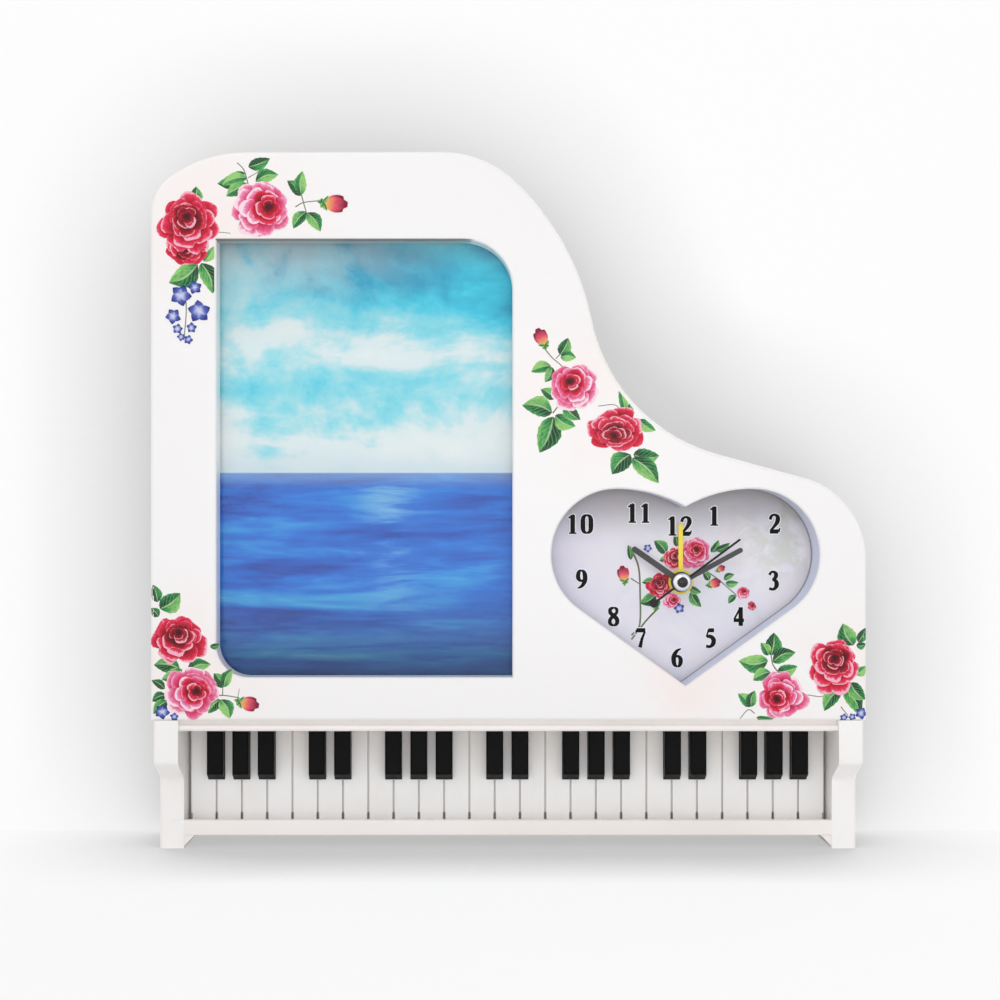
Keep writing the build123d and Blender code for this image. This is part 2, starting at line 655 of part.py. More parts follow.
def keybed():
    """Housing behind the keyboard: top, floor, key wall and ends."""
    face = span(RAIL_BACK, COVER_FRONT, KEY_TOP, LID_BOTTOM)
    face += span(RAIL_BACK, RAIL_BACK + BED_WALL, LID_BOTTOM - RAIL_HEIGHT, LID_BOTTOM)
    face += span(COMB_BACK, BED_BACK, BED_FLOOR_Z, LID_BOTTOM)
    face += span(SLIP_BACK, COVER_FRONT, BED_FLOOR_Z, KEY_LOW)
    bed = prism_x(face, -CHEEK_INNER, CHEEK_INNER)
    end = span(COMB_BACK, COVER_FRONT, BED_FLOOR_Z, LID_BOTTOM)
    bed += prism_x(end, CHEEK_INNER - BED_WALL, CHEEK_INNER)
    bed += prism_x(end, -CHEEK_INNER, BED_WALL - CHEEK_INNER)
    bite = SCREW_BITE + PILOT_SPARE
    for place in lower_points():
        bed += slab(Pos(place) * peg(BOSS_RADIUS), COMB_BACK, COVER_FRONT)
        bed -= slab(Pos(place) * peg(SHANK_RADIUS), COVER_FRONT - bite, COVER_FRONT)
    for x in stake_places():
        bed -= slab(Pos(x, STAKE_Z) * peg(STAKE_RADIUS + SCREW_FIT), COMB_BACK, BED_BACK)
    for place in cheek_points():
        bed -= bar(place, (1, 0, 0), SHANK_RADIUS + SCREW_FIT, BED_WALL)
        bed -= bar(across(place), (-1, 0, 0), SHANK_RADIUS + SCREW_FIT, BED_WALL)
    for place in bed_points():
        bed -= bar(place, (0, 0, -1), SHANK_RADIUS + SCREW_FIT, BED_WALL)
    return bed


def stake_places():
    """Middles of the keys whose stakes hold the keyboard."""
    middle = KEY_COUNT // 2
    return [(key - middle) * KEY_PITCH for key in (2, middle, KEY_COUNT - 3)]


def cheek_points():
    """Screws of the right cheek, on the inside of the keyboard housing."""
    middle = (BED_FLOOR_Z + LID_BOTTOM) / 2
    y = BED_SCREW_DEPTH - DEPTH / 2
    return [(CHEEK_INNER - BED_WALL, y, middle + side * CHEEK_SCREW_GAP / 2) for side in (-1, 1)]


def across(place):
    """The same place on the other side of the case."""
    return (-place[0], place[1], place[2])


def fallboard_rail():
    """Moulding over the keys: a round bead under a set-back strip."""
    low = LID_BOTTOM - RAIL_HEIGHT
    bead_top = low + RAIL_BEAD
    face = span(RAIL_DEPTH + RAIL_STEP, RAIL_BACK, bead_top, LID_BOTTOM)
    face += span(RAIL_DEPTH + RAIL_BEAD / 2, RAIL_BACK, low, bead_top)
    face += Pos(RAIL_DEPTH + RAIL_BEAD / 2, low + RAIL_BEAD / 2) * Circle(RAIL_BEAD / 2)
    return prism_x(face, -CHEEK_INNER, CHEEK_INNER)


def key_slip():
    """Strip below the keys, with a gusset at each foot."""
    face = span(CHEEK_STEP_DEPTH, SLIP_BACK, BED_FLOOR_Z, BED_FLOOR_Z + SLIP_HEIGHT)
    slip = prism_x(face, -CHEEK_INNER, CHEEK_INNER)
    slip = fillet(slip.faces().sort_by(Axis.Y)[0].edges().filter_by(Axis.X), SLIP_THICKNESS / 4)
    for side in (-1, 1):
        outer = side * CHEEK_INNER
        inner = outer - side * GUSSET
        corners = [(outer, BED_FLOOR_Z), (outer, BED_FLOOR_Z - GUSSET), (inner, BED_FLOOR_Z)]
        gusset = make_face(Polyline(*corners, close=True))
        slip += slab(gusset, CHEEK_STEP_DEPTH + SLIP_THICKNESS / 4, SLIP_BACK)
    return slip


def cheek(side):
    """Side piece: a block beside the rail that slopes back to a straight foot."""
    block_low = LID_BOTTOM - CHEEK_BLOCK
    slope_low = block_low - CHEEK_SLOPE
    corners = [(0, LID_BOTTOM), (0, block_low), (CHEEK_STEP_DEPTH, slope_low), (CHEEK_STEP_DEPTH, 0)]
    front = FilletPolyline(*corners, radius=CHEEK_ARRIS)
    back = Polyline((CHEEK_STEP_DEPTH, 0), (DEPTH, 0), (DEPTH, LID_BOTTOM), (0, LID_BOTTOM))
    face = make_face(front.edges() + back.edges())
    piece = prism_x(face, CHEEK_INNER, CHEEK_OUTER)
    outer = piece.faces().sort_by(Axis.X)[-1].edges()
    limit = CHEEK_STEP_DEPTH - DEPTH / 2 + CHEEK_ARRIS / 2
    bright = [e for e in outer if (e @ 0.5).Y < limit and e.bounding_box().size.Z > CHEEK_ARRIS / 4]
    piece = chamfer(bright, CHEEK_EDGE)
    for place in cheek_points():
        piece -= bar(place, (1, 0, 0), SHANK_RADIUS, BED_WALL + CHEEK_BITE)
    if side < 0:
        piece = mirror(piece, about=Plane.YZ)
    return piece


def cheek_screws():
    """Screws from the keyboard housing into the cheeks."""
    length = BED_WALL + CHEEK_BITE
    right = [screw(place, (-1, 0, 0), length) for place in cheek_points()]
    return right + [screw(across(place), (1, 0, 0), length) for place in cheek_points()]


def keybed_screws():
    """Screws that hold the keyboard housing under the shell."""
    places = [(x, y, z - BED_WALL) for x, y, z in bed_points()]
    return [screw(place, (0, 0, -1), BED_WALL + SCREW_BITE) for place in places]


def black_places():
    """Middles of the black keys, on the joints that have one in each octave from C."""
    raised = (1, 2, 4, 5, 6)
    first = 3
    joints = [k for k in range(1, KEY_COUNT) if (k + first) % 7 in raised]
    return [(k - KEY_COUNT / 2) * KEY_PITCH for k in joints]


def white_keys():
    """White keys moulded as one grooved strip, slotted for the black ones."""
    half = KEY_COUNT * KEY_PITCH / 2
    strip = slab(span(-half, half, KEY_LOW, KEY_TOP), WHITE_DEPTH, WHITE_BACK)
    lines = Sketch() + [
        span(x - KEY_GROOVE / 2, x + KEY_GROOVE / 2, KEY_LOW, KEY_TOP)
        for x in [(k - KEY_COUNT / 2) * KEY_PITCH for k in range(1, KEY_COUNT)]
    ]
    strip -= slab(lines, WHITE_DEPTH, WHITE_DEPTH + KEY_GROOVE_DEPTH)
    half_slot = BLACK_WIDTH / 2 + BLACK_FIT
    low = KEY_TOP - BLACK_LENGTH - BLACK_FIT
    slots = Sketch() + [span(x - half_slot, x + half_slot, low, KEY_TOP) for x in black_places()]
    strip -= slab(slots, WHITE_DEPTH, WHITE_BACK)
    for x in stake_places():
        strip += slab(Pos(x, STAKE_Z) * peg(STAKE_RADIUS), WHITE_BACK, BED_BACK)
        strip += slab(Pos(x, STAKE_Z) * peg(STAKE_HEAD_RADIUS), BED_BACK, BED_BACK + STAKE_HEAD)
    return strip


def black_keys():
    """Black keys on a comb behind the white strip, standing through its slots."""
    half = KEY_COUNT * KEY_PITCH / 2 - COMB_MARGIN
    comb = slab(span(-half, half, KEY_LOW, KEY_TOP), WHITE_BACK, COMB_BACK)
    for x in stake_places():
        comb -= slab(Pos(x, STAKE_Z) * peg(STAKE_RADIUS + SCREW_FIT), WHITE_BACK, COMB_BACK)
    low = KEY_TOP - BLACK_LENGTH
    top = WHITE_DEPTH - BLACK_RISE
    nose = [(WHITE_BACK, low), (WHITE_DEPTH, low), (top, low + BLACK_NOSE)]
    corners = nose + [(top, KEY_TOP), (WHITE_BACK, KEY_TOP)]
    key = prism_x(make_face(Polyline(*corners, close=True)), -BLACK_WIDTH / 2, BLACK_WIDTH / 2)
    rise = key.faces().sort_by(Axis.Y)[0].edges()
    key = chamfer([e for e in rise if (e @ 0.5).Z < KEY_TOP - BLACK_NOSE / 4], BLACK_EDGE)
    return comb + [Pos(x, 0, 0) * key for x in black_places()]


def dial():
    """Heart-shaped dial plate with ears under its three screws."""
    face = offset(heart_outline(), amount=HEART_WALL - DIAL_EDGE_FIT)
    for place in dial_points():
        inward = 1 - 2 * BOSS_RADIUS / hypot(place[0], place[1])
        face += in_clock((0, 0), tongue((place[0] * inward, place[1] * inward), place, BOSS_RADIUS))
    for place in dial_points():
        face -= in_clock(place, peg(SHANK_RADIUS + SCREW_FIT))
    face -= in_clock((0, 0), Circle(BUSHING_RADIUS + SCREW_FIT))
    return slab(face, DIAL_DEPTH, MOVEMENT_FRONT)


def movement_face(grow, radius):
    """Outline of the movement's case, grown on every side."""
    width = 2 * (MOVEMENT_HALF_WIDTH + grow)
    height = MOVEMENT_HIGH - MOVEMENT_LOW + 2 * grow
    middle = (MOVEMENT_HIGH + MOVEMENT_LOW) / 2
    return in_clock((0, middle), RectangleRounded(width, height, radius))


def battery_body(grow):
    """Cylinder of the battery cell, grown all round."""
    radius = BATTERY_DIAMETER / 2 + grow
    return Pos(battery_axis(0)) * Rot(0, 90, 0) * Cylinder(radius, BATTERY_LENGTH)


def battery_axis(along):
    """Point on the battery cell's axis, at a distance to the right of its middle."""
    level = MOVEMENT_FRONT + BATTERY_DEPTH - DEPTH / 2
    return (HUB_X + along, level, HUB_Z + BATTERY_W)


def post_places():
    """Screw posts of the movement's cover, in its upper corners."""
    side = MOVEMENT_HALF_WIDTH - CASE_WALL - PILLAR_RADIUS / 2
    high = MOVEMENT_HIGH - CASE_WALL - PILLAR_RADIUS / 2
    return [(-side, high), (side, high)]


def movement_base():
    """Front half of the movement's case, with the bushing, ears, posts and bay."""
    base = slab(movement_face(0, CASE_RADIUS), MOVEMENT_FRONT, MOVEMENT_FRONT + CASE_BACK)
    room = movement_face(-CASE_WALL, CASE_RADIUS - CASE_WALL)
    base -= slab(room, MOVEMENT_FRONT + CASE_FLOOR, MOVEMENT_FRONT + CASE_BACK)
    half = MOVEMENT_HALF_WIDTH - CASE_WALL / 2
    wall = span(-half, half, -BAY_BELOW_HUB, PARTITION - BAY_BELOW_HUB)
    base += clock_slab(wall, CASE_FLOOR, CASE_BACK)
    for place in dial_points():
        inward = 1 - 4 * EAR_RADIUS / hypot(place[0], place[1])
        ear = tongue((place[0] * inward, place[1] * inward), place, EAR_RADIUS)
        base += clock_slab(ear, 0, CASE_FLOOR)
    for place in dial_points():
        base -= post(place, SHANK_RADIUS + SCREW_FIT, 0, CASE_FLOOR)
    for place in post_places():
        base += post(place, PILLAR_RADIUS, CASE_FLOOR, CASE_BACK)
        base -= post(place, SHANK_RADIUS, CASE_BACK - SCREW_BITE - PILOT_SPARE, CASE_BACK)
    for place in PILLARS:
        base += post(place, PILLAR_RADIUS + PILLAR_SHOULDER, CASE_FLOOR, MIDDLE_FRONT)
        base += post(place, PILLAR_RADIUS, MIDDLE_FRONT, BRIDGE_FRONT)
        base -= post(place, SHANK_RADIUS, BRIDGE_FRONT - PILLAR_BITE, BRIDGE_FRONT)
    for place in stator_posts():
        base += post(place, CORE_HALF_WIDTH, CASE_FLOOR, STATOR_FRONT)
    half = BAY_HEIGHT / 2
    cradle = span(-CRADLE_THICKNESS / 2, CRADLE_THICKNESS / 2, -half, half)
    for side in (-1, 1):
        place = (side * CRADLE_SPAN / 2, BATTERY_W)
        base += clock_slab(cradle, CASE_FLOOR, CASE_FLOOR + CRADLE_HEIGHT, place)
    base -= battery_body(BAY_FIT / 2)
    front = DIAL_DEPTH - BUSHING_STANDOUT - MOVEMENT_FRONT
    base += rod(HUB_AT, BUSHING_RADIUS, front, CASE_FLOOR)
    base -= rod(HUB_AT, BUSHING_BORE, front, CASE_FLOOR)
    sunk = CASE_FLOOR - PIVOT_DEPTH
    for place in (SET_AT, ALARM_AT):
        base -= rod(place, SET_ARBOR_RADIUS + RUNNING_FIT, sunk, CASE_FLOOR)
    return base


def movement_cover():
    """Back of the movement, open over the battery."""
    face = movement_face(0, CASE_RADIUS)
    half = BATTERY_LENGTH / 2 + CONTACT_ROOM
    low = -BAY_BELOW_HUB - BAY_HEIGHT
    face -= in_clock(HUB_AT, span(-half, half, low, -BAY_BELOW_HUB))
    for place in (SET_AT, ALARM_AT):
        face -= in_clock(place, Circle(SET_ARBOR_RADIUS + RUNNING_FIT))
    for place in post_places():
        face -= in_clock(place, peg(SHANK_RADIUS + SCREW_FIT))
    slot_width = SWITCH_TAB_WIDTH + SWITCH_TRAVEL + 2 * SWITCH_FIT
    face -= in_clock(switch_middle(), Rectangle(slot_width, SWITCH_TAB_HEIGHT + 2 * SWITCH_FIT))
    holes = PolarLocations(BUZZER_RADIUS / 2, 6) * peg(SOUND_HOLE_RADIUS)
    face -= in_clock(BUZZER_AT, peg(SOUND_HOLE_RADIUS))
    face -= in_clock(BUZZER_AT, Sketch() + holes)
    return clock_slab_of(face, CASE_BACK, CASE_BACK + CASE_COVER)


def clock_slab_of(face, front, back):
    """Slab of a face that is already in the case's coordinates."""
    return slab(face, MOVEMENT_FRONT + front, MOVEMENT_FRONT + back)


def switch_middle():
    """Middle of the switch's slot, half a travel from the tab at rest."""
    return (SWITCH_AT[0] + SWITCH_TRAVEL / 2, SWITCH_AT[1])


def alarm_switch():
    """Alarm switch: a plate under the cover and a tab through its slot."""
    level = CASE_BACK - SWITCH_FIT
    plate = Rectangle(SWITCH_TAB_WIDTH + 2 * SWITCH_TRAVEL, SWITCH_TAB_HEIGHT + SWITCH_TRAVEL)
    switch = clock_slab(plate, level - SWITCH_PLATE, level, SWITCH_AT)
    tab = Rectangle(SWITCH_TAB_WIDTH, SWITCH_TAB_HEIGHT)
    switch += clock_slab(tab, level, CASE_BACK + CASE_COVER + SWITCH_TAB_RISE, SWITCH_AT)
    return switch


def movement_screws():
    """Screws through the movement's ears and the dial into the shell."""
    level = MOVEMENT_FRONT + CASE_FLOOR - DEPTH / 2
    places = [(HUB_X + u, level, HUB_Z + w) for u, w in dial_points()]
    return [screw(place, (0, 1, 0), CASE_FLOOR + DIAL_THICKNESS + SCREW_BITE) for place in places]


def movement_cover_screws():
    """Screws of the movement's cover."""
    level = MOVEMENT_BACK - DEPTH / 2
    places = [(HUB_X + u, level, HUB_Z + w) for u, w in post_places()]
    return [screw(place, (0, 1, 0), CASE_COVER + SCREW_BITE) for place in places]


def train_bridge():
    """Plate over the wheels that carries their rear pivots."""
    knots = [ROTOR_AT, ALARM_AT] + PILLARS
    rims = [in_clock(place, peg(1.5 * PILLAR_RADIUS)).edges() for place in knots]
    face = make_hull([edge for rim in rims for edge in rim])
    for place in (THIRD_AT, STEP_AT, ROTOR_AT):
        face -= in_clock(place, Circle(ARBOR_RADIUS + RUNNING_FIT))
    face -= in_clock(HUB_AT, Circle(SECOND_ARBOR_RADIUS + RUNNING_FIT))
    for place in (SET_AT, ALARM_AT):
        face -= in_clock(place, Circle(SET_ARBOR_RADIUS + SWITCH_FIT))
    for place in PILLARS:
        face -= in_clock(place, peg(SHANK_RADIUS + SCREW_FIT))
    return clock_slab_of(face, BRIDGE_FRONT, BRIDGE_BACK)


def middle_plate():
    """Plate between the motion work and the going train, on the pillars' shoulders."""
    knots = [ROTOR_AT, ALARM_AT] + PILLARS
    rims = [in_clock(place, peg(1.5 * PILLAR_RADIUS)).edges() for place in knots]
    face = make_hull([edge for rim in rims for edge in rim])
    for place in (THIRD_AT, STEP_AT, ROTOR_AT):
        face -= in_clock(place, Circle(ARBOR_RADIUS + RUNNING_FIT))
    face -= in_clock(HUB_AT, Circle(MINUTE_PIPE + RUNNING_FIT))
    for place in (SET_AT, ALARM_AT):
        face -= in_clock(place, Circle(SET_ARBOR_RADIUS + SWITCH_FIT))
    for place in PILLARS:
        face -= in_clock(place, peg(PILLAR_RADIUS + SCREW_FIT))
    return clock_slab_of(face, MIDDLE_FRONT, MIDDLE_BACK)


def bridge_screws():
    """Screws of the train bridge."""
    level = MOVEMENT_FRONT + BRIDGE_BACK - DEPTH / 2
    places = [(HUB_X + u, level, HUB_Z + w) for u, w in PILLARS]
    return [screw(place, (0, 1, 0), BRIDGE_THICKNESS + PILLAR_BITE) for place in places]


def layer(number):
    """Front and back of one layer of wheels: three before the middle plate, four behind."""
    front = CASE_FLOOR + LAYER_GAP + number * (LAYER_GAP + GEAR_THICKNESS)
    if number > 2:
        front += MIDDLE_THICKNESS + LAYER_GAP
    return front, front + GEAR_THICKNESS


STATOR_FRONT = MIDDLE_BACK


def involute(angle):
    """Involute of an angle in radians."""
    return tan(angle) - angle


def gear_face(teeth, module, phase):
    """Involute wheel whose first tooth points in a direction, in degrees."""
    pitch = module * teeth / 2
    base = pitch * cos(radians(PRESSURE_ANGLE))
    tip = pitch + ADDENDUM * module
    root = pitch - DEDENDUM * module
    half = pi / (2 * teeth) - BACKLASH * module / pitch
    steps = [root, tip]
    if teeth <= ALARM_LEAVES:
        low = max(root, base)
        steps = [root, low, (low + tip) / 2, tip]
    flank = []
    for radius in steps:
        roll = acos(min(1.0, base / radius))
        flank.append((radius, half + involute(radians(PRESSURE_ANGLE)) - involute(roll)))
    corners = []
    for tooth in range(teeth):
        middle = radians(phase) + 2 * pi * tooth / teeth
        for radius, spread in flank:
            corners.append((radius * cos(middle - spread), radius * sin(middle - spread)))
        for radius, spread in reversed(flank):
            corners.append((radius * cos(middle + spread), radius * sin(middle + spread)))
    return make_face(Polyline(*corners, close=True))


def mesh_phase(teeth, phase, direction, other):
    """Direction of a tooth of the other wheel, so that the two wheels mesh."""
    past = (direction - phase) * teeth / 360
    return direction + 180 - (0.5 - past) * 360 / other


def wheel(place, teeth, module, phase, level):
    """Toothed wheel in one layer."""
    front, back = layer(level)
    return clock_slab(gear_face(teeth, module, phase), front, back, place)


CENTRE_PHASE = 0.0
THIRD_LEAF_PHASE = mesh_phase(CENTRE_TEETH, CENTRE_PHASE, THIRD_DIRECTION, LEAF_COUNT)
SECOND_LEAF_PHASE = mesh_phase(THIRD_TEETH, 0.0, THIRD_DIRECTION + 180, LEAF_COUNT)
STEP_LEAF_PHASE = mesh_phase(SECOND_TEETH, 0.0, STEP_DIRECTION, LEAF_COUNT)
ROTOR_LEAF_PHASE = mesh_phase(STEP_TEETH, 0.0, ROTOR_DIRECTION, LEAF_COUNT)
MINUTE_PHASE = mesh_phase(CANNON_LEAVES, 0.0, SET_DIRECTION, MINUTE_TEETH)
HOUR_PHASE = mesh_phase(CANNON_LEAVES, 0.0, SET_DIRECTION + 180, HOUR_TEETH)
ALARM_LEAF_PHASE = mesh_phase(ALARM_TEETH, 0.0, ALARM_DIRECTION, ALARM_LEAVES)
PIVOT_END = CASE_FLOOR - PIVOT_DEPTH + RUNNING_FIT


def alarm_wheel():
    """Alarm wheel on the outermost pipe."""
    front = ALARM_HAND_FRONT - MOVEMENT_FRONT
    back = layer(0)[1]
    part = wheel(HUB_AT, ALARM_TEETH, ALARM_MODULE, 0.0, 0)
    part += rod(HUB_AT, ALARM_PIPE, front, back)
    return part - rod(HUB_AT, ALARM_BORE, front, back)


def hour_wheel():
    """Hour wheel on the second pipe."""
    front = HOUR_HAND_FRONT - MOVEMENT_FRONT
    back = layer(1)[1]
    part = wheel(HUB_AT, HOUR_TEETH, HOUR_MODULE, HOUR_PHASE, 1)
    part += rod(HUB_AT, HOUR_PIPE, front, back)
    return part - rod(HUB_AT, HOUR_BORE, front, back)


def cannon_pinion():
    """Cannon pinion: the minute hand's pipe, with a sleeve under the centre wheel."""
    front = MINUTE_HAND_FRONT - MOVEMENT_FRONT
    back = layer(3)[1] + LAYER_GAP / 4
    part = wheel(HUB_AT, CANNON_LEAVES, MINUTE_MODULE, 0.0, 2)
    part += rod(HUB_AT, MINUTE_PIPE, front, back)
    return part - rod(HUB_AT, MINUTE_BORE, front, back)


def centre_wheel():
    """Centre wheel, which slips on the cannon pinion's sleeve when the hands are set."""
    front, back = layer(3)
    part = wheel(HUB_AT, CENTRE_TEETH, CENTRE_MODULE, CENTRE_PHASE, 3)
    return part - rod(HUB_AT, MINUTE_PIPE + RUNNING_FIT, front, back)


def third_wheel():
    """Third wheel with its pinion and arbor."""
    part = wheel(THIRD_AT, THIRD_TEETH, THIRD_MODULE, 0.0, 4)
    part += wheel(THIRD_AT, LEAF_COUNT, CENTRE_MODULE, THIRD_LEAF_PHASE, 3)
    return part + rod(THIRD_AT, ARBOR_RADIUS, MIDDLE_FRONT, BRIDGE_BACK)


def second_wheel():
    """Second wheel with its pinion, on the arbor that goes through every pipe."""
    part = wheel(HUB_AT, SECOND_TEETH, SECOND_MODULE, 0.0, 5)
    part += wheel(HUB_AT, LEAF_COUNT, THIRD_MODULE, SECOND_LEAF_PHASE, 4)
    front = SECOND_HAND_FRONT - MOVEMENT_FRONT
    return part + rod(HUB_AT, SECOND_ARBOR_RADIUS, front, BRIDGE_BACK)


def intermediate_wheel():
    """Wheel between the rotor and the second wheel."""
    part = wheel(STEP_AT, STEP_TEETH, STEP_MODULE, 0.0, 6)
    part += wheel(STEP_AT, LEAF_COUNT, SECOND_MODULE, STEP_LEAF_PHASE, 5)
    return part + rod(STEP_AT, ARBOR_RADIUS, MIDDLE_FRONT, BRIDGE_BACK)


def rotor():
    """Rotor of the stepping motor: a magnet and a pinion on one arbor."""
    part = wheel(ROTOR_AT, LEAF_COUNT, STEP_MODULE, ROTOR_LEAF_PHASE, 6)
    front = STATOR_FRONT + LAYER_GAP / 2
    part += rod(ROTOR_AT, MAGNET_RADIUS, front, front + MAGNET_LENGTH)
    return part + rod(ROTOR_AT, ARBOR_RADIUS, MIDDLE_FRONT, BRIDGE_BACK)


def minute_wheel():
    """Minute wheel and pinion on the arbor of the time knob."""
    part = wheel(SET_AT, MINUTE_TEETH, MINUTE_MODULE, MINUTE_PHASE, 2)
    part += wheel(SET_AT, CANNON_LEAVES, HOUR_MODULE, 0.0, 1)
    end = KNOB_FRONT + KNOB_BORE - MOVEMENT_FRONT
    return part + rod(SET_AT, SET_ARBOR_RADIUS, PIVOT_END, end)


def alarm_pinion():
    """Pinion on the arbor of the alarm knob."""
    part = wheel(ALARM_AT, ALARM_LEAVES, ALARM_MODULE, ALARM_LEAF_PHASE, 0)
    end = KNOB_FRONT + KNOB_BORE - MOVEMENT_FRONT
    return part + rod(ALARM_AT, SET_ARBOR_RADIUS, PIVOT_END, end)


def knob(place, radius):
    """Fluted knob pressed on its arbor."""
    rim = []
    for step in range(2 * KNOB_FLUTES):
        reach = radius - FLUTE_DEPTH * (step % 2)
        rim.append(polar(reach, step * 180 / KNOB_FLUTES))
    front = KNOB_FRONT - MOVEMENT_FRONT
    face = make_face(Polyline(*rim, close=True))
    part = clock_slab(face, front, front + KNOB_HEIGHT, place)
    return part - rod(place, SET_ARBOR_RADIUS, front, front + KNOB_BORE)


def stator_posts():
    """Posts under the two arms of the stator."""
    u = ROTOR_AT[0] - COIL_OFFSET
    rise = (STATOR_HALF_HEIGHT + COIL_HALF_LENGTH) / 2
    return [(u, ROTOR_AT[1] - rise), (u, ROTOR_AT[1] + rise)]


def stator():
    """Flat stator with its rotor hole and two arms to the coil's core."""
    face = span(-STATOR_REACH, STATOR_POLE, -STATOR_HALF_HEIGHT, STATOR_HALF_HEIGHT)
    window = COIL_HALF_LENGTH + SWITCH_FIT
    face -= span(-STATOR_REACH - 1, COIL_RADIUS + SWITCH_FIT - COIL_OFFSET, -window, window)
    face -= Circle(MAGNET_RADIUS + STATOR_GAP)
    return clock_slab(face, STATOR_FRONT, STATOR_FRONT + STATOR_THICKNESS, ROTOR_AT)


def coil_core():
    """Core bar across the stator's arms."""
    half = STATOR_HALF_HEIGHT
    face = span(-COIL_OFFSET - CORE_HALF_WIDTH, CORE_HALF_WIDTH - COIL_OFFSET, -half, half)
    front = STATOR_FRONT + STATOR_THICKNESS
    return clock_slab(face, front, front + STATOR_THICKNESS, ROTOR_AT)


def coil_axis(shape):
    """Put a shape made along Z on the coil's axis."""
    middle = STATOR_FRONT + 1.5 * STATOR_THICKNESS
    x = HUB_X + ROTOR_AT[0] - COIL_OFFSET
    return Pos(x, MOVEMENT_FRONT + middle - DEPTH / 2, HUB_Z + ROTOR_AT[1]) * shape


def coil_bar(radius, length):
    """Bar along the coil, about its middle."""
    return Pos(0, 0, -length / 2) * extrude(peg(radius), amount=length)


def coil_bobbin():
    """Bobbin: a sleeve on the core between two flanges."""
    sleeve = coil_bar(COIL_SLEEVE, 2 * COIL_HALF_LENGTH)
    flange = coil_bar(COIL_RADIUS, COIL_FLANGE)
    lift = COIL_HALF_LENGTH - COIL_FLANGE / 2
    body = sleeve + Pos(0, 0, lift) * flange + Pos(0, 0, -lift) * flange
    body -= Box(2 * CORE_HALF_WIDTH, STATOR_THICKNESS, 2 * STATOR_HALF_HEIGHT)
    return coil_axis(body)


def coil_winding():
    """Copper winding between the flanges."""
    length = 2 * (COIL_HALF_LENGTH - COIL_FLANGE)
    return coil_axis(coil_bar(COIL_RADIUS - COIL_FLANGE / 2, length) - coil_bar(COIL_SLEEVE, length))


def circuit_board():
    """Circuit board on the train bridge, with its covered chip."""
    middle = (BOARD_LEFT + BOARD_WIDTH / 2, BOARD_LOW + BOARD_HEIGHT / 2)
    back = BRIDGE_BACK + CIRCUIT_THICKNESS
    part = clock_slab(Rectangle(BOARD_WIDTH, BOARD_HEIGHT), BRIDGE_BACK, back, middle)
    chip = (middle[0] - BOARD_WIDTH / 4, BOARD_LOW + BOARD_HEIGHT / 3)
    return part + post(chip, CHIP_RADIUS, back, back + CRYSTAL_RADIUS)


def quartz_crystal():
    """Quartz crystal in its can, lying on the circuit board."""
    u = BOARD_LEFT + BOARD_WIDTH / 2
    w = BOARD_LOW + BOARD_HEIGHT - 2 * CRYSTAL_RADIUS
    level = MOVEMENT_FRONT + BRIDGE_BACK + CIRCUIT_THICKNESS + CRYSTAL_RADIUS - DEPTH / 2
    return bar((HUB_X + u - CRYSTAL_LENGTH / 2, level, HUB_Z + w), (1, 0, 0), CRYSTAL_RADIUS, CRYSTAL_LENGTH)


def buzzer():
    """Sounder disc behind the holes of the movement's cover."""
    disc = RegularPolygon(BUZZER_RADIUS, 2 * PEG_SIDES)
    return clock_slab(disc, CASE_BACK - BUZZER_THICKNESS, CASE_BACK, BUZZER_AT)


def battery():
    """Battery cell with its positive nub."""
    end = battery_axis(BATTERY_LENGTH / 2)
    cell = battery_body(0) - Pos(end) * Box(2 * BATTERY_NUB, 2 * BATTERY_DIAMETER, 2 * BATTERY_DIAMETER)
    return cell + bar(end, (-1, 0, 0), BATTERY_NUB_RADIUS, BATTERY_NUB)


def battery_contact(side):
    """Plate at one end of the bay, with a dimple that meets the cell."""
    inner = BATTERY_LENGTH / 2
    outer = inner + CONTACT_ROOM
    middle = battery_axis(side * (outer - CONTACT_THICKNESS / 2))
    plate = Pos(middle) * Box(CONTACT_THICKNESS, CONTACT_SIZE, CONTACT_SIZE)
    rise = outer - CONTACT_THICKNESS - inner
    return plate + bar(battery_axis(side * inner), (side, 0, 0), BATTERY_NUB_RADIUS / 2, rise)


def baton(length, width, tail=0.0):
    """Straight hand with round ends, from its tail up to twelve."""
    return Pos(0, (length - tail) / 2) * SlotOverall(length + tail, width, rotation=90)


def hand(face, angle, hub, bore, front):
    """Hand on a round hub, turned clockwise from twelve."""
    turned = Rot(0, 0, -angle) * (face + Circle(hub)) - Circle(bore)
    return slab(in_clock(HUB_AT, turned), front, front + HAND_THICKNESS)


def alarm_hand():
    """Alarm hand, nearest the dial."""
    face = baton(ALARM_LENGTH, ALARM_HAND_WIDTH)
    return hand(face, ALARM_ANGLE, ALARM_HUB_RADIUS, ALARM_PIPE, ALARM_HAND_FRONT)


def hour_hand():
    """Hour hand."""
    face = baton(HOUR_LENGTH, HOUR_HAND_WIDTH)
    return hand(face, HOUR_ANGLE, HOUR_HUB_RADIUS, HOUR_PIPE, HOUR_HAND_FRONT)


def minute_hand():
    """Minute hand."""
    face = baton(MINUTE_LENGTH, MINUTE_HAND_WIDTH)
    return hand(face, MINUTE_ANGLE, MINUTE_HUB_RADIUS, MINUTE_PIPE, MINUTE_HAND_FRONT)


def second_hand():
    """Seconds hand with a disc at the end of its tail."""
    face = baton(SECOND_LENGTH, SECOND_HAND_WIDTH, SECOND_TAIL)
    face += Pos(0, -SECOND_TAIL) * Circle(SECOND_DISC_RADIUS)
    return hand(face, SECOND_ANGLE, SECOND_HUB_RADIUS, SECOND_ARBOR_RADIUS, SECOND_HAND_FRONT)


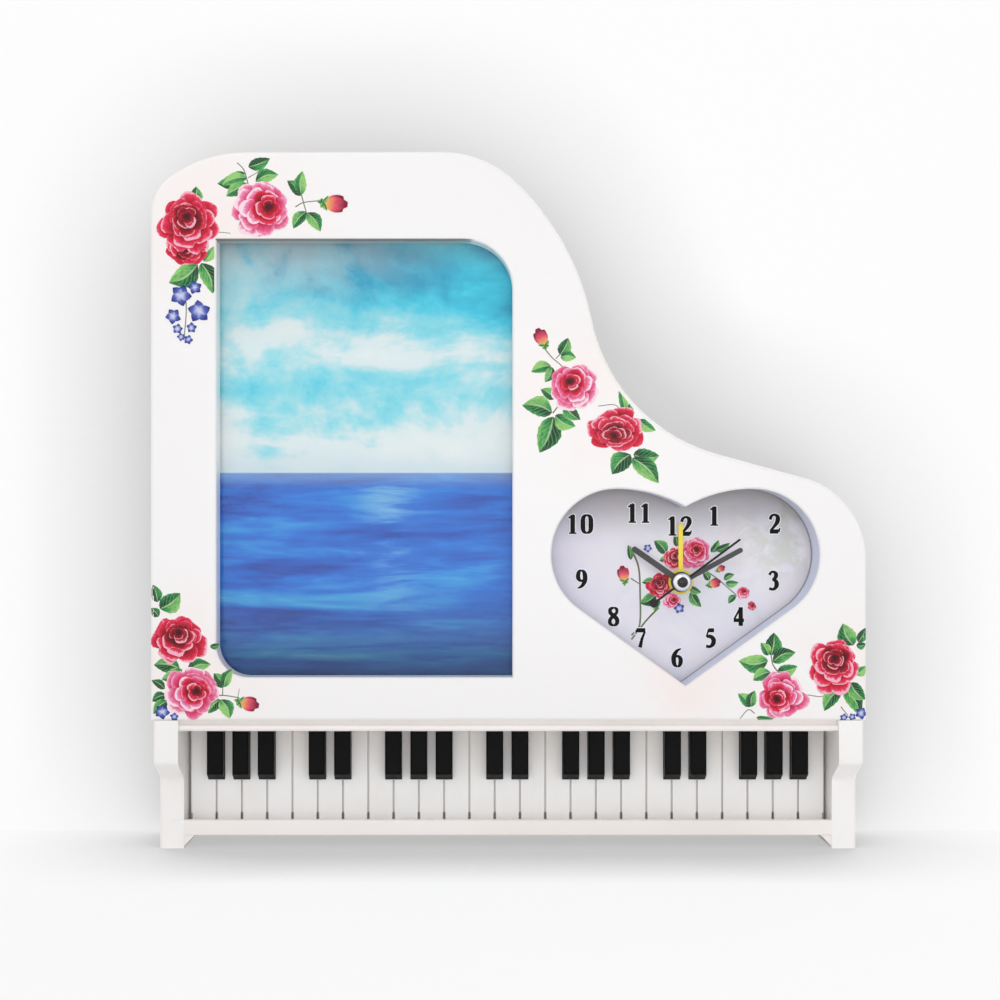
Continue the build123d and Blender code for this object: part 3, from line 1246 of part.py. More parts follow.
def hub_cap():
    """Domed cap over the middle of the hands."""
    dome = (CAP_RADIUS**2 + CAP_HEIGHT**2) / (2 * CAP_HEIGHT)
    y = SECOND_HAND_FRONT - DEPTH / 2
    ball = Pos(HUB_X, y - CAP_HEIGHT + dome, HUB_Z) * Sphere(dome)
    disc = in_clock(HUB_AT, Circle(CAP_RADIUS))
    return ball & slab(disc, SECOND_HAND_FRONT - CAP_HEIGHT, SECOND_HAND_FRONT)


def pieces():
    """Every piece of the clock by name."""
    return {
        "front_shell": front_shell(),
        "rear_cover": rear_cover(),
        "cover_screws": cover_screws(),
        "photo_pane": photo_pane(),
        "photo_print": photo_print(),
        "backing_board": backing_board(),
        "photo_door": photo_door(),
        "keybed": keybed(),
        "keybed_screws": keybed_screws(),
        "fallboard_rail": fallboard_rail(),
        "key_slip": key_slip(),
        "left_cheek": cheek(-1),
        "right_cheek": cheek(1),
        "cheek_screws": cheek_screws(),
        "white_keys": white_keys(),
        "black_keys": black_keys(),
        "dial": dial(),
        "movement_base": movement_base(),
        "movement_screws": movement_screws(),
        "movement_cover": movement_cover(),
        "movement_cover_screws": movement_cover_screws(),
        "middle_plate": middle_plate(),
        "train_bridge": train_bridge(),
        "bridge_screws": bridge_screws(),
        "alarm_wheel": alarm_wheel(),
        "hour_wheel": hour_wheel(),
        "cannon_pinion": cannon_pinion(),
        "centre_wheel": centre_wheel(),
        "third_wheel": third_wheel(),
        "second_wheel": second_wheel(),
        "intermediate_wheel": intermediate_wheel(),
        "rotor": rotor(),
        "minute_wheel": minute_wheel(),
        "alarm_pinion": alarm_pinion(),
        "time_knob": knob(SET_AT, KNOB_RADIUS),
        "alarm_knob": knob(ALARM_AT, ALARM_KNOB_RADIUS),
        "stator": stator(),
        "coil_core": coil_core(),
        "coil_bobbin": coil_bobbin(),
        "coil_winding": coil_winding(),
        "circuit_board": circuit_board(),
        "quartz_crystal": quartz_crystal(),
        "buzzer": buzzer(),
        "alarm_switch": alarm_switch(),
        "battery": battery(),
        "positive_contact": battery_contact(1),
        "negative_contact": battery_contact(-1),
        "alarm_hand": alarm_hand(),
        "hour_hand": hour_hand(),
        "minute_hand": minute_hand(),
        "second_hand": second_hand(),
        "hub_cap": hub_cap(),
    }


os.makedirs("parts", exist_ok=True)
for name, shape in pieces().items():
    solid = Compound(children=shape) if isinstance(shape, list) else shape
    export_step(solid, os.path.join("parts", name + ".step"))
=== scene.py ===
"""Looks of a table photo frame with an alarm clock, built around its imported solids."""
from __future__ import annotations

import logging
import math
import random
from dataclasses import dataclass, field
from enum import Enum
from functools import reduce
from typing import Callable, Optional, Sequence, Union

import bmesh
import bpy
from mathutils import Matrix, Vector


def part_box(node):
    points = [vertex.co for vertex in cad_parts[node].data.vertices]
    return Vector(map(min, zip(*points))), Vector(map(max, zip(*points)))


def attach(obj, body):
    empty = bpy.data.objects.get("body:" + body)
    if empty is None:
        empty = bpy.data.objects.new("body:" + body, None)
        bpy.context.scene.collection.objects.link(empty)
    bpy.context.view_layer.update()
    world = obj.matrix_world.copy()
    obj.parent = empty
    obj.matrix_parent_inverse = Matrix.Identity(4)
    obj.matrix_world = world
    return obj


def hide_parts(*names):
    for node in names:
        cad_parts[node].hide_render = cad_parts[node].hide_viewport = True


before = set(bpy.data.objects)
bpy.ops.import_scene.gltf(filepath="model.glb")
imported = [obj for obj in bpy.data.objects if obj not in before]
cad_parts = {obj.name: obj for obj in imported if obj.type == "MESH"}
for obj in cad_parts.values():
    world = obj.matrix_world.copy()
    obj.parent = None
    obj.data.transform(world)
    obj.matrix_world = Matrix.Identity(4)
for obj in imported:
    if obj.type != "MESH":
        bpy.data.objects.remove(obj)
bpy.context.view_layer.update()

LOG = logging.getLogger("photo_frame_clock")
MM = 0.001
UV_MAP = "patch"
TONE_LAYER = "tone"
SHARP_ANGLE = math.radians(40)
# Axis of the hands, seen from the front, in millimetres
HUB = (59.3, 90.9)
# Rows of faces along a ribbon for each of its points
ROWS_PER_POINT = 5
# Range of the tones of stems and small petals
TONES = (0.2, 0.8)
WHITE = (255, 255, 255)

Colour = tuple[float, float, float]
Flat = tuple[float, float]
Point = tuple[float, float, float]
Box = tuple[float, float, float, float]
Shape = Callable[[float, float], Flat]
Value = Union[float, "Field"]
Tint = Union[Colour, "Field"]


def linear(levels: Colour) -> tuple[float, ...]:
    """Turns screen levels from 0 to 255 into an opaque colour in linear light."""
    shares = [level / 255.0 for level in levels]
    return (*(v / 12.92 if v <= 0.04045 else ((v + 0.055) / 1.055) ** 2.4 for v in shares), 1.0)


def math_method(operation: str, swapped: bool = False) -> Callable[..., Field]:
    """Makes a method of Field that adds one Math node.

    Args:
        operation: The node's operation.
        swapped: Whether the other value comes first.

    Returns:
        The method.
    """
    def method(self: Field, other: Value = 0.0) -> Field:
        """Adds the Math node and hands back its result."""
        first, second = (other, self) if swapped else (self, other)
        return self.recipe.node("ShaderNodeMath", {"operation": operation}, {0: first, 1: second})
    return method


class Field:
    """Socket of a node tree that takes part in Python expressions."""

    __add__, __radd__ = math_method("ADD"), math_method("ADD", True)
    __sub__, __rsub__ = math_method("SUBTRACT"), math_method("SUBTRACT", True)
    __mul__, __rmul__ = math_method("MULTIPLY"), math_method("MULTIPLY", True)
    __pow__ = math_method("POWER")
    __abs__ = math_method("ABSOLUTE")
    most = math_method("MAXIMUM")
    sine = math_method("SINE")

    def __init__(self, recipe: Recipe, socket: bpy.types.NodeSocket) -> None:
        """Keeps the socket and the recipe that it belongs to."""
        self.recipe = recipe
        self.socket = socket

    def wave(self, turns: float) -> Field:
        """Sine of the value, with a number of turns in each unit."""
        return (self * (turns * math.tau)).sine()

    def swing(self, spread: float) -> Field:
        """Turns a pattern of 0.5 on average into one that swings round 0."""
        return spread * (self - 0.5)

    def step(self, low: float, high: float) -> Field:
        """Smooth mask, 0 at low and 1 at high, which falls where low is the larger one."""
        settings = {"interpolation_type": "SMOOTHSTEP"}
        return self.recipe.node("ShaderNodeMapRange", settings, {0: self, 1: low, 2: high})

    def band(self, low: float, high: float, soft: float) -> Field:
        """Mask that is 1 between two values, with soft edges inside them."""
        return self.step(low, low + soft) * self.step(high, high - soft)


def gap(x: Field, z: Field, spot: Sequence[float]) -> Field:
    """Distance from a spot, seen from the front."""
    return ((x - spot[0]) ** 2.0 + (z - spot[1]) ** 2.0) ** 0.5


class Recipe:
    """Node tree of one finish, with the one method that adds its nodes."""

    def __init__(self, owner: Union[bpy.types.Material, bpy.types.World]) -> None:
        """Empties the owner's node tree.

        Args:
            owner: The material or world that the nodes are for.
        """
        owner.use_nodes = True
        self.owner = owner
        self.tree = owner.node_tree
        self.tree.nodes.clear()

    def node(self, kind: str, settings: Optional[dict] = None, inputs: Optional[dict] = None,
             output: Union[int, str] = 0) -> Field:
        """Adds a node.

        Args:
            kind: The node's type.
            settings: Its settings, set first; stops are the stops of a ramp.
            inputs: Values or links of its sockets, by name or number, with colours as screen levels.
            output: The output that is handed back.

        Returns:
            That output.
        """
        made = self.tree.nodes.new(kind)
        for name, value in (settings or {}).items():
            if name == "stops":
                self._set_stops(made.color_ramp, value)
            else:
                setattr(made, name, value)
        for name, value in (inputs or {}).items():
            socket = made.inputs[name]
            if isinstance(value, Field):
                self.tree.links.new(value.socket, socket)
            else:
                socket.default_value = linear(value) if socket.type == "RGBA" else value
        return Field(self, made.outputs[output] if made.outputs else None)

    @staticmethod
    def _set_stops(ramp: bpy.types.ColorRamp, stops: Sequence[tuple[float, Colour]]) -> None:
        """Sets the stops of a colour ramp.

        Args:
            ramp: The ramp.
            stops: Places and colours.
        """
        while len(ramp.elements) < len(stops):
            ramp.elements.new(1.0)
        for element, (place, colour) in zip(ramp.elements, stops):
            element.position = place
            element.color = linear(colour)

    def place(self) -> Field:
        """Place on the piece, in metres."""
        return self.node("ShaderNodeTexCoord", output="Object")

    def axes(self, vector: Field) -> tuple[Field, ...]:
        """The three parts of a vector."""
        return tuple(self.node("ShaderNodeSeparateXYZ", None, {0: vector}, axis) for axis in range(3))

    def millimetres(self) -> tuple[Field, ...]:
        """The three parts of the place on the piece, in millimetres."""
        scale = {0: self.place(), "Scale": 1.0 / MM}
        return self.axes(self.node("ShaderNodeVectorMath", {"operation": "SCALE"}, scale))

    def patch(self) -> Field:
        """Place on a printed patch, across and along it."""
        return self.node("ShaderNodeUVMap", {"uv_map": UV_MAP})

    def tone(self) -> Field:
        """Tone of a printed patch, from 0 to 1."""
        return self.node("ShaderNodeAttribute", {"attribute_name": TONE_LAYER}, output="Fac")

    def noise(self, scale: float, detail: float = 2.0, rough: float = 0.5,
              stretch: Optional[Point] = None, twist: float = 0.0, vector: Optional[Field] = None) -> Field:
        """Cloudy pattern.

        Args:
            scale: Waves in each metre.
            detail: How many finer layers are added.
            rough: How strong the finer layers are.
            stretch: Factors along the axes.
            twist: How much the pattern is distorted.
            vector: What the pattern follows, or the place on the piece.

        Returns:
            The pattern, about 0.5 on average.
        """
        vector = vector or self.place()
        if stretch:
            vector = self.node("ShaderNodeMapping", None, {"Vector": vector, "Scale": stretch})
        inputs = {"Vector": vector, "Scale": scale, "Detail": detail, "Roughness": rough, "Distortion": twist}
        return self.node("ShaderNodeTexNoise", None, inputs)

    def mix(self, factor: Value, first: Tint, second: Tint) -> Field:
        """Mixes two colours by the share of the second one."""
        return self.node("ShaderNodeMix", {"data_type": "RGBA"}, {0: factor, 6: first, 7: second}, 2)

    def ramp(self, factor: Field, *stops: tuple[float, Colour]) -> Field:
        """Colour that follows a value through a number of stops."""
        return self.node("ShaderNodeValToRGB", {"stops": stops}, {0: factor})

    def bump(self, height: Field, depth: float) -> Field:
        """Relief from a height, whose depth is in millimetres."""
        return self.node("ShaderNodeBump", None, {"Strength": 1.0, "Distance": depth * MM, "Height": height})

    def surface(self, colour: Tint, roughness: Value, normal: Optional[Field] = None,
                **others: Value) -> None:
        """Ends a material in one shader.

        Args:
            colour: Base colour.
            roughness: Roughness.
            normal: Relief.
            others: Other values, named as the sockets are, with _ for a space.
        """
        inputs = {"Base Color": colour, "Roughness": roughness}
        if normal:
            inputs["Normal"] = normal
        for name, value in others.items():
            inputs[name.replace("_", " ")] = value
        self.end(self.node("ShaderNodeBsdfPrincipled", None, inputs))

    def blend(self, share: Value, first: Field, second: Field) -> Field:
        """Mixes two shaders by the share of the second one."""
        return self.node("ShaderNodeMixShader", None, {0: share, 1: first, 2: second})

    def end(self, shader: Field) -> None:
        """Joins a shader to the output of a material or world."""
        kind = "World" if isinstance(self.owner, bpy.types.World) else "Material"
        self.node(f"ShaderNodeOutput{kind}", None, {"Surface": shader})


@dataclass(frozen=True)
class Finish:
    """Finish of a piece; each kind writes its own recipe.

    A pair of levels in millimetres says where a mask is 0 and where it is 1.
    """

    name: str

    def write(self, recipe: Recipe) -> None:
        """Writes the nodes of the finish."""
        raise NotImplementedError

    def material(self) -> bpy.types.Material:
        """Makes the finish's material once.

        Returns:
            The material.
        """
        name = f"{self.name}_finish"
        found = bpy.data.materials.get(name)
        if found is None:
            found = bpy.data.materials.new(name)
            self.write(Recipe(found))
        return found


@dataclass(frozen=True)
class Moulding(Finish):
    """Moulded plastic, whose colour drifts a little and whose skin has a fine grain."""

    colour: Colour
    drift: Colour
    roughness: float = 0.35
    grain: float = 1800.0
    depth: float = 0.004
    coat: float = 0.0
    shine: float = 0.5

    def write(self, recipe: Recipe) -> None:
        """Writes the nodes of the plastic.

        Args:
            recipe: The recipe that takes them.
        """
        flow = recipe.noise(22.0, 3.0)
        skin = recipe.noise(self.grain, rough=0.6)
        colour = recipe.mix(flow.step(0.3, 0.75), self.colour, self.drift)
        roughness = self.roughness + recipe.noise(160.0).swing(0.12)
        recipe.surface(colour, roughness, recipe.bump(skin, self.depth), Coat_Weight=self.coat,
                       Specular_IOR_Level=self.shine)


@dataclass(frozen=True)
class Metal(Finish):
    """Metal with fine marks along one way and dull patches."""

    colour: Colour
    dull: Colour
    roughness: float = 0.25
    stretch: Point = (1.0, 1.0, 1.0)

    def write(self, recipe: Recipe) -> None:
        """Writes the nodes of the metal.

        Args:
            recipe: The recipe that takes them.
        """
        marks = recipe.noise(2600.0, rough=0.6, stretch=self.stretch)
        colour = recipe.mix(recipe.noise(300.0, 3.0).step(0.35, 0.7), self.colour, self.dull)
        recipe.surface(colour, self.roughness + marks.swing(0.2), recipe.bump(marks, 0.002), Metallic=1.0)


@dataclass(frozen=True)
class LidWhite(Finish):
    """White of the front shell, with a faint blush by the flowers, a painted bluish reflection and a painted
    shadow line on the heart well's wall, and painted shade on the window's top reveal.
    """

    colour: Colour = (250, 248, 248)
    blush: Colour = (253, 238, 234)
    # Painted bluish reflection on the heart well's wall, and the painted shadow line at its back where it
    # meets the dial
    wall_reflection: Colour = (218, 226, 246)
    line: Colour = (116, 118, 134)
    # Painted shade on the window's top reveal, with a darker painted shadow line at its front
    reveal_shade: Colour = (186, 180, 176)
    brink_shadow: Colour = (104, 92, 86)
    seats: tuple[Point, ...] = ((-95, 205, 46), (28, 150, 38), (-105, 60, 42), (100, 60, 40), (60, 60, 30))
    heart: Box = (13.3, 105.3, 55.0, 124.0)
    wall_front: Flat = (-19.3, -18.1)
    wall_back: Flat = (-4.0, -4.5)
    line_from: Flat = (-8.6, -6.8)
    window_sides: Flat = (-98.4, 2.0)
    window_top: float = 206.0
    reveal_front: Flat = (-19.9, -19.6)
    brink_back: Flat = (-16.4, -15.4)

    def write(self, recipe: Recipe) -> None:
        """Writes the nodes of the white shell.

        Args:
            recipe: The recipe that takes them.
        """
        x, y, z = recipe.millimetres()
        glow = reduce(Field.most, [gap(x, z, seat).step(seat[2], 0.2 * seat[2]) for seat in self.seats])
        patchy = recipe.noise(30.0, 3.0).step(0.25, 0.7)
        colour = recipe.mix(glow * patchy * 0.7, self.colour, self.blush)
        left, right, low, high = self.heart
        inside = x.band(left, right, 1.0) * z.band(low, high, 1.0)
        # Painted reflection: a bluish tint on the heart well's wall, turning into a painted shadow line at
        # its back by the dial
        tint = recipe.mix(y.step(*self.line_from), self.wall_reflection, self.line)
        colour = recipe.mix(inside * y.step(*self.wall_front) * y.step(*self.wall_back), colour, tint)
        # Painted shade on the window's top reveal, darkest in a painted shadow line at its front
        left, right = self.window_sides
        top = self.window_top
        under = z.step(top - 0.4, top) * z.step(top + 0.7, top + 0.4)
        across = x.band(left - 1.0, right + 1.0, 1.0) * y.step(*self.reveal_front)
        shade = recipe.mix(y.step(*self.brink_back), self.brink_shadow, self.reveal_shade)
        colour = recipe.mix(under * across * 0.9, colour, shade)
        roughness = 0.3 + recipe.noise(90.0).swing(0.1)
        recipe.surface(colour, roughness, recipe.bump(recipe.noise(700.0), 0.003), Coat_Weight=0.15)


@dataclass(frozen=True)
class KeyWhite(Finish):
    """White of the keys, with painted shadow at their upper ends under the overhang and painted shade in a
    dot at the foot of each groove.
    """

    colour: Colour = (252, 251, 250)
    # Painted shadow at the keys' upper ends, under the overhang above them; also the colour of a faint random
    # mottle
    shade: Colour = (216, 207, 198)
    shaded: Flat = (19.0, 42.0)
    groove: Colour = (250, 246, 242)
    groove_face: Flat = (-0.6, -0.1)
    # Painted shade in a dot at the foot of each groove
    dot: Colour = (150, 145, 142)
    dot_rise: Flat = (11.0, 10.3)
    pitch: float = 8.76

    def write(self, recipe: Recipe) -> None:
        """Writes the nodes of the key strip.

        Args:
            recipe: The recipe that takes them.
        """
        x, y, z = recipe.millimetres()
        # Painted shadow at the keys' upper ends, under the overhang above them
        colour = recipe.mix(z.step(*self.shaded) * 0.5, self.colour, self.shade)
        colour = recipe.mix(y.step(*self.groove_face), colour, self.groove)
        colour = recipe.mix(recipe.noise(60.0).step(0.4, 0.8) * 0.12, colour, self.shade)
        # Painted shade in a dot at the foot of each groove, where it meets the slip
        side = (x * (1.0 / self.pitch) + 0.5).wave(0.5)
        dots = (side * side).step(0.05, 0.01) * z.step(*self.dot_rise)
        colour = recipe.mix(dots * 0.85, colour, self.dot)
        roughness = 0.22 + recipe.noise(200.0).swing(0.1)
        recipe.surface(colour, roughness, recipe.bump(recipe.noise(900.0), 0.003), Coat_Weight=0.2)


@dataclass(frozen=True)
class Clear(Finish):
    """Clear pane: see-through, with the gloss of its surface."""

    tint: Colour = (253.3, 253.9, 253.9)
    bend: float = 1.35

    def write(self, recipe: Recipe) -> None:
        """Writes the nodes of the pane.

        Args:
            recipe: The recipe that takes them.
        """
        gloss = recipe.node("ShaderNodeFresnel", None, {"IOR": self.bend})
        clear = recipe.node("ShaderNodeBsdfTransparent", None, {"Color": self.tint})
        shine = recipe.node("ShaderNodeBsdfGlossy", None, {"Color": WHITE, "Roughness": 0.06})
        recipe.end(recipe.blend(gloss * (0.5 + 0.3 * recipe.noise(70.0, 3.0)), clear, shine))


@dataclass(frozen=True)
class SeaPrint(Finish):
    """Print of a cloudy sky over open water, behind the pane, with painted shadow along its top edge."""

    middle: Flat = (-48.2, 132.7)
    size: Flat = (101.6, 152.4)
    horizon: float = -0.03
    back: Flat = (-10.3, -10.25)
    veil: Colour = (224, 222, 222)
    # Painted shadow along the picture's top edge, under the window's top reveal
    top_edge_shadow: Colour = (176, 182, 186)
    deep: Colour = (4, 26, 58)
    glint: Colour = (168, 222, 242)
    haze: Colour = (196, 226, 238)
    paper: Colour = (236, 234, 228)

    SKY = ((0.33, (24, 172, 208)), (0.43, (64, 218, 242)), (0.51, (158, 234, 245)), (0.58, (236, 247, 249)),
           (0.74, (254, 254, 252)))
    WATER = ((0.30, (0, 50, 132)), (0.43, (0, 90, 198)), (0.52, (14, 130, 230)), (0.62, (60, 180, 242)),
             (0.75, (176, 230, 248)))

    def write(self, recipe: Recipe) -> None:
        """Writes the nodes of the print.

        Args:
            recipe: The recipe that takes them.
        """
        x, y, z = recipe.millimetres()
        across = (x - self.middle[0]) * (1.0 / self.size[0])
        up = (z - self.middle[1]) * (1.0 / self.size[1])
        line = self.horizon
        sheet = recipe.noise(60.0, 5.0, 0.6, (1.0, 1.0, 0.8), 0.5)
        cover = recipe.noise(26.0, 7.0, 0.58, (0.75, 1.0, 1.35), 0.35) * 0.78 + sheet * 0.22
        cover = cover + 0.10 * (up.step(0.16, 0.02) - up.step(0.25, 0.4))
        veil = up.step(0.24, 0.5) * across.step(0.35, -0.35) * sheet.step(0.3, 0.6)
        sky = recipe.mix(veil * 0.7, recipe.ramp(cover, *self.SKY), self.veil)
        # Painted shadow along the picture's top edge
        sky = recipe.mix(up.step(0.40, 0.53) * 0.4, sky, self.top_edge_shadow)
        swell = recipe.noise(26.0, 5.0, 0.6, (0.45, 1.0, 3.4), 0.4)
        level = swell * 0.65 + recipe.noise(70.0, 5.0, 0.65, (0.4, 1.0, 3.0), 0.6) * 0.35
        water = recipe.mix(up.step(-0.26, -0.52) * 0.75, recipe.ramp(level, *self.WATER), self.deep)
        glint = abs(across - 0.08).step(0.16, 0.0) * up.step(-0.45, -0.05) * level.step(0.48, 0.62)
        water = recipe.mix(glint * 0.6, water, self.glint)
        picture = recipe.mix(up.step(line + 0.002, line - 0.002), sky, water)
        haze = up.step(line - 0.04, line) * up.step(line + 0.07, line)
        picture = recipe.mix(haze * 0.35, picture, self.haze)
        picture = recipe.mix(y.step(*self.back), picture, self.paper)
        roughness = 0.45 + recipe.noise(500.0).swing(0.15)
        recipe.surface(picture, roughness, recipe.bump(recipe.noise(1500.0, rough=0.7), 0.006))


@dataclass(frozen=True)
class DialPaper(Finish):
    """Printed dial: pale lavender grey with washes of other pale tints, and painted shadow towards its top
    under the lid's edge.
    """

    side: Colour = (234, 228, 240)
    spot: Colour = (205, 210, 196)
    # Painted shadow towards the dial's top, under the lid's edge
    top: Colour = (166, 160, 158)

    WASH = ((0.3, (228, 228, 237)), (0.5, (238, 235, 243)), (0.68, (245, 238, 243)))

    def write(self, recipe: Recipe) -> None:
        """Writes the nodes of the dial.

        Args:
            recipe: The recipe that takes them.
        """
        x, _, z = recipe.millimetres()
        across, up = x - HUB[0], z - HUB[1]
        colour = recipe.ramp(recipe.noise(55.0, 4.0, 0.55, None, 0.6), *self.WASH)
        colour = recipe.mix(across.step(-10.0, -45.0) * 0.5, colour, self.side)
        corner = across.step(8.0, 36.0) * up.step(-6.0, 14.0)
        spots = recipe.noise(120.0, 4.0, 0.65, None, 0.8).step(0.42, 0.62)
        colour = recipe.mix(corner * spots * 0.7, colour, self.spot)
        # Painted shadow towards the dial's top, under the lid's edge
        colour = recipe.mix(up.step(11.0, 32.0) * 0.85, colour, self.top)
        grain = recipe.noise(1600.0, rough=0.7)
        recipe.surface(colour, 0.5 + grain.swing(0.1), recipe.bump(grain, 0.004))


@dataclass(frozen=True)
class CapChrome(Finish):
    """Bright cap of the hands' axis, with a dark eye of painted shade that stands for its hollow centre."""

    bright: Colour = (238, 238, 240)
    # Painted shade of the hollow centre, in the cap's dark eye
    dark: Colour = (30, 30, 34)
    eye: Flat = (2.05, 1.65)

    def write(self, recipe: Recipe) -> None:
        """Writes the nodes of the cap.

        Args:
            recipe: The recipe that takes them.
        """
        x, _, z = recipe.millimetres()
        # Painted shade: a dark, less metallic eye stands for the cap's hollow centre
        eye = gap(x, z, HUB).step(*self.eye)
        marks = recipe.noise(900.0, rough=0.6)
        recipe.surface(recipe.mix(eye, self.bright, self.dark), 0.12 + marks.swing(0.1),
                       recipe.bump(marks, 0.002), Metallic=1.0 - eye * 0.8)


@dataclass(frozen=True)
class CellSleeve(Finish):
    """Sleeve of the battery cell in two plain colours, with bare steel ends."""

    half: float = 25.25
    body: Colour = (34, 60, 118)
    head: Colour = (206, 160, 74)
    ring: Colour = (236, 234, 228)
    steel: Colour = (196, 196, 198)
    scuffed: Colour = (220, 218, 214)

    def write(self, recipe: Recipe) -> None:
        """Writes the nodes of the sleeve.

        Args:
            recipe: The recipe that takes them.
        """
        along = (recipe.millimetres()[0] - HUB[0]) * (1.0 / self.half)
        colour = recipe.mix(along.step(0.36, 0.37), self.body, self.head)
        colour = recipe.mix(along.band(0.33, 0.40, 0.01), colour, self.ring)
        ends = abs(along).step(0.93, 0.935)
        scuff = recipe.noise(240.0, 4.0, 0.6)
        colour = recipe.mix(ends, colour, self.steel)
        colour = recipe.mix(scuff.step(0.62, 0.8) * 0.15, colour, self.scuffed)
        recipe.surface(colour, 0.3 + scuff.swing(0.2), Metallic=ends)


class Patch(Enum):
    """Kinds of printed patches, by the finish that they share."""

    HEART = "rose_hearts"
    RED = "red_petals"
    PINK = "pink_petals"
    LEAF = "leaves"
    STEM = "stems"
    BUD = "buds"
    BELL = "bell_flowers"
    NUMERAL = "numerals"
    EDGING = "numeral_edging"


@dataclass(frozen=True)
class PetalInk(Finish):
    """Petals, dark at the root and pale along the rim."""

    root: Colour
    deep: Colour
    body: Colour
    bright: Colour
    rim: Colour

    def write(self, recipe: Recipe) -> None:
        """Writes the nodes of the petals.

        Args:
            recipe: The recipe that takes them.
        """
        patch = recipe.patch()
        streak = recipe.noise(800.0, 4.0, 0.65, None, 0.5)
        brush = recipe.noise(1.0, 3.0, 0.6, (11.0, 2.2, 1.0), 0.3, patch)
        blotch = recipe.noise(300.0)
        along = (recipe.axes(patch)[1] + recipe.tone().swing(0.5) + streak.swing(0.3) + brush.swing(0.4)
                 + blotch.swing(0.35))
        colour = recipe.ramp(along, (0.14, self.root), (0.4, self.deep), (0.68, self.body),
                             (0.9, self.bright), (1.0, self.rim))
        recipe.surface(colour, 0.32 + streak.swing(0.1), Specular_IOR_Level=0.25)


@dataclass(frozen=True)
class LeafInk(Finish):
    """Leaves with a pale midrib, one half lighter than the other."""

    light: Colour = (150, 206, 116)
    body: Colour = (44, 146, 78)
    dark: Colour = (8, 70, 44)
    rib: Colour = (190, 222, 160)

    def write(self, recipe: Recipe) -> None:
        """Writes the nodes of the leaves.

        Args:
            recipe: The recipe that takes them.
        """
        patch = recipe.patch()
        u, v, _ = recipe.axes(patch)
        side = abs(u - 0.5)
        streak = recipe.noise(700.0, 3.0, 0.6)
        brush = recipe.noise(1.0, 3.0, 0.6, (5.0, 3.0, 1.0), 0.4, patch)
        veins = (v * 6.0 - side * 5.0).wave(1.0).step(0.5, 1.0)
        level = recipe.tone() * 0.7 + 0.42 * u.step(0.44, 0.56) - 0.26 + streak.swing(0.5) + brush.swing(0.6)
        level = level - 0.35 * v.step(0.45, 0.0) + 0.25 * side.step(0.25, 0.5)
        colour = recipe.ramp(level, (0.06, self.dark), (0.4, self.body), (0.8, self.light))
        colour = recipe.mix(veins * 0.22, colour, self.rib)
        colour = recipe.mix(side.step(0.06, 0.02) * v.step(1.0, 0.6) * 0.7, colour, self.rib)
        recipe.surface(colour, 0.34 + streak.swing(0.1), Specular_IOR_Level=0.25)


@dataclass(frozen=True)
class WashInk(Finish):
    """Ink that runs from one colour to another along a patch."""

    start: Colour
    middle: Colour
    end: Colour
    shine: float = 0.25

    def write(self, recipe: Recipe) -> None:
        """Writes the nodes of the ink.

        Args:
            recipe: The recipe that takes them.
        """
        streak = recipe.noise(900.0, 3.0, 0.6)
        along = recipe.axes(recipe.patch())[1] + recipe.tone().swing(0.3) + streak.swing(0.25)
        colour = recipe.ramp(along, (0.1, self.start), (0.5, self.middle), (0.9, self.end))
        recipe.surface(colour, 0.34 + streak.swing(0.1), Specular_IOR_Level=self.shine)


INKS: dict[Patch, Finish] = {
    Patch.HEART: PetalInk("rose_heart_ink", (58, 0, 12), (96, 2, 20), (146, 6, 32), (196, 36, 62),
                          (242, 172, 188)),
    Patch.RED: PetalInk("red_petal_ink", (104, 2, 22), (164, 8, 38), (212, 24, 56), (230, 66, 102),
                        (248, 182, 200)),
    Patch.PINK: PetalInk("pink_petal_ink", (172, 16, 56), (212, 44, 92), (230, 92, 140), (242, 150, 186),
                         (254, 224, 234)),
    Patch.LEAF: LeafInk("leaf_ink"),
    Patch.STEM: WashInk("stem_ink", (96, 84, 60), (104, 124, 84), (120, 136, 108)),
    Patch.BUD: WashInk("bud_ink", (244, 190, 96), (228, 84, 108), (132, 16, 52)),
    Patch.BELL: WashInk("bell_ink", (206, 212, 240), (84, 98, 182), (36, 44, 122)),
    Patch.NUMERAL: WashInk("numeral_ink", (14, 13, 14), (20, 19, 20), (16, 15, 16), 0.1),
    Patch.EDGING: WashInk("edging_ink", (248, 247, 250), (252, 251, 252), (248, 247, 250)),
}


@dataclass(frozen=True)
class Cut:
    """Straight edge at which printed patches end."""

    at: Flat
    away: Flat

    def back(self, distance: float) -> Cut:
        """The same edge, moved back over the patches."""
        x, z = (place - distance * way for place, way in zip(self.at, self.away))
        return Cut((x, z), self.away)


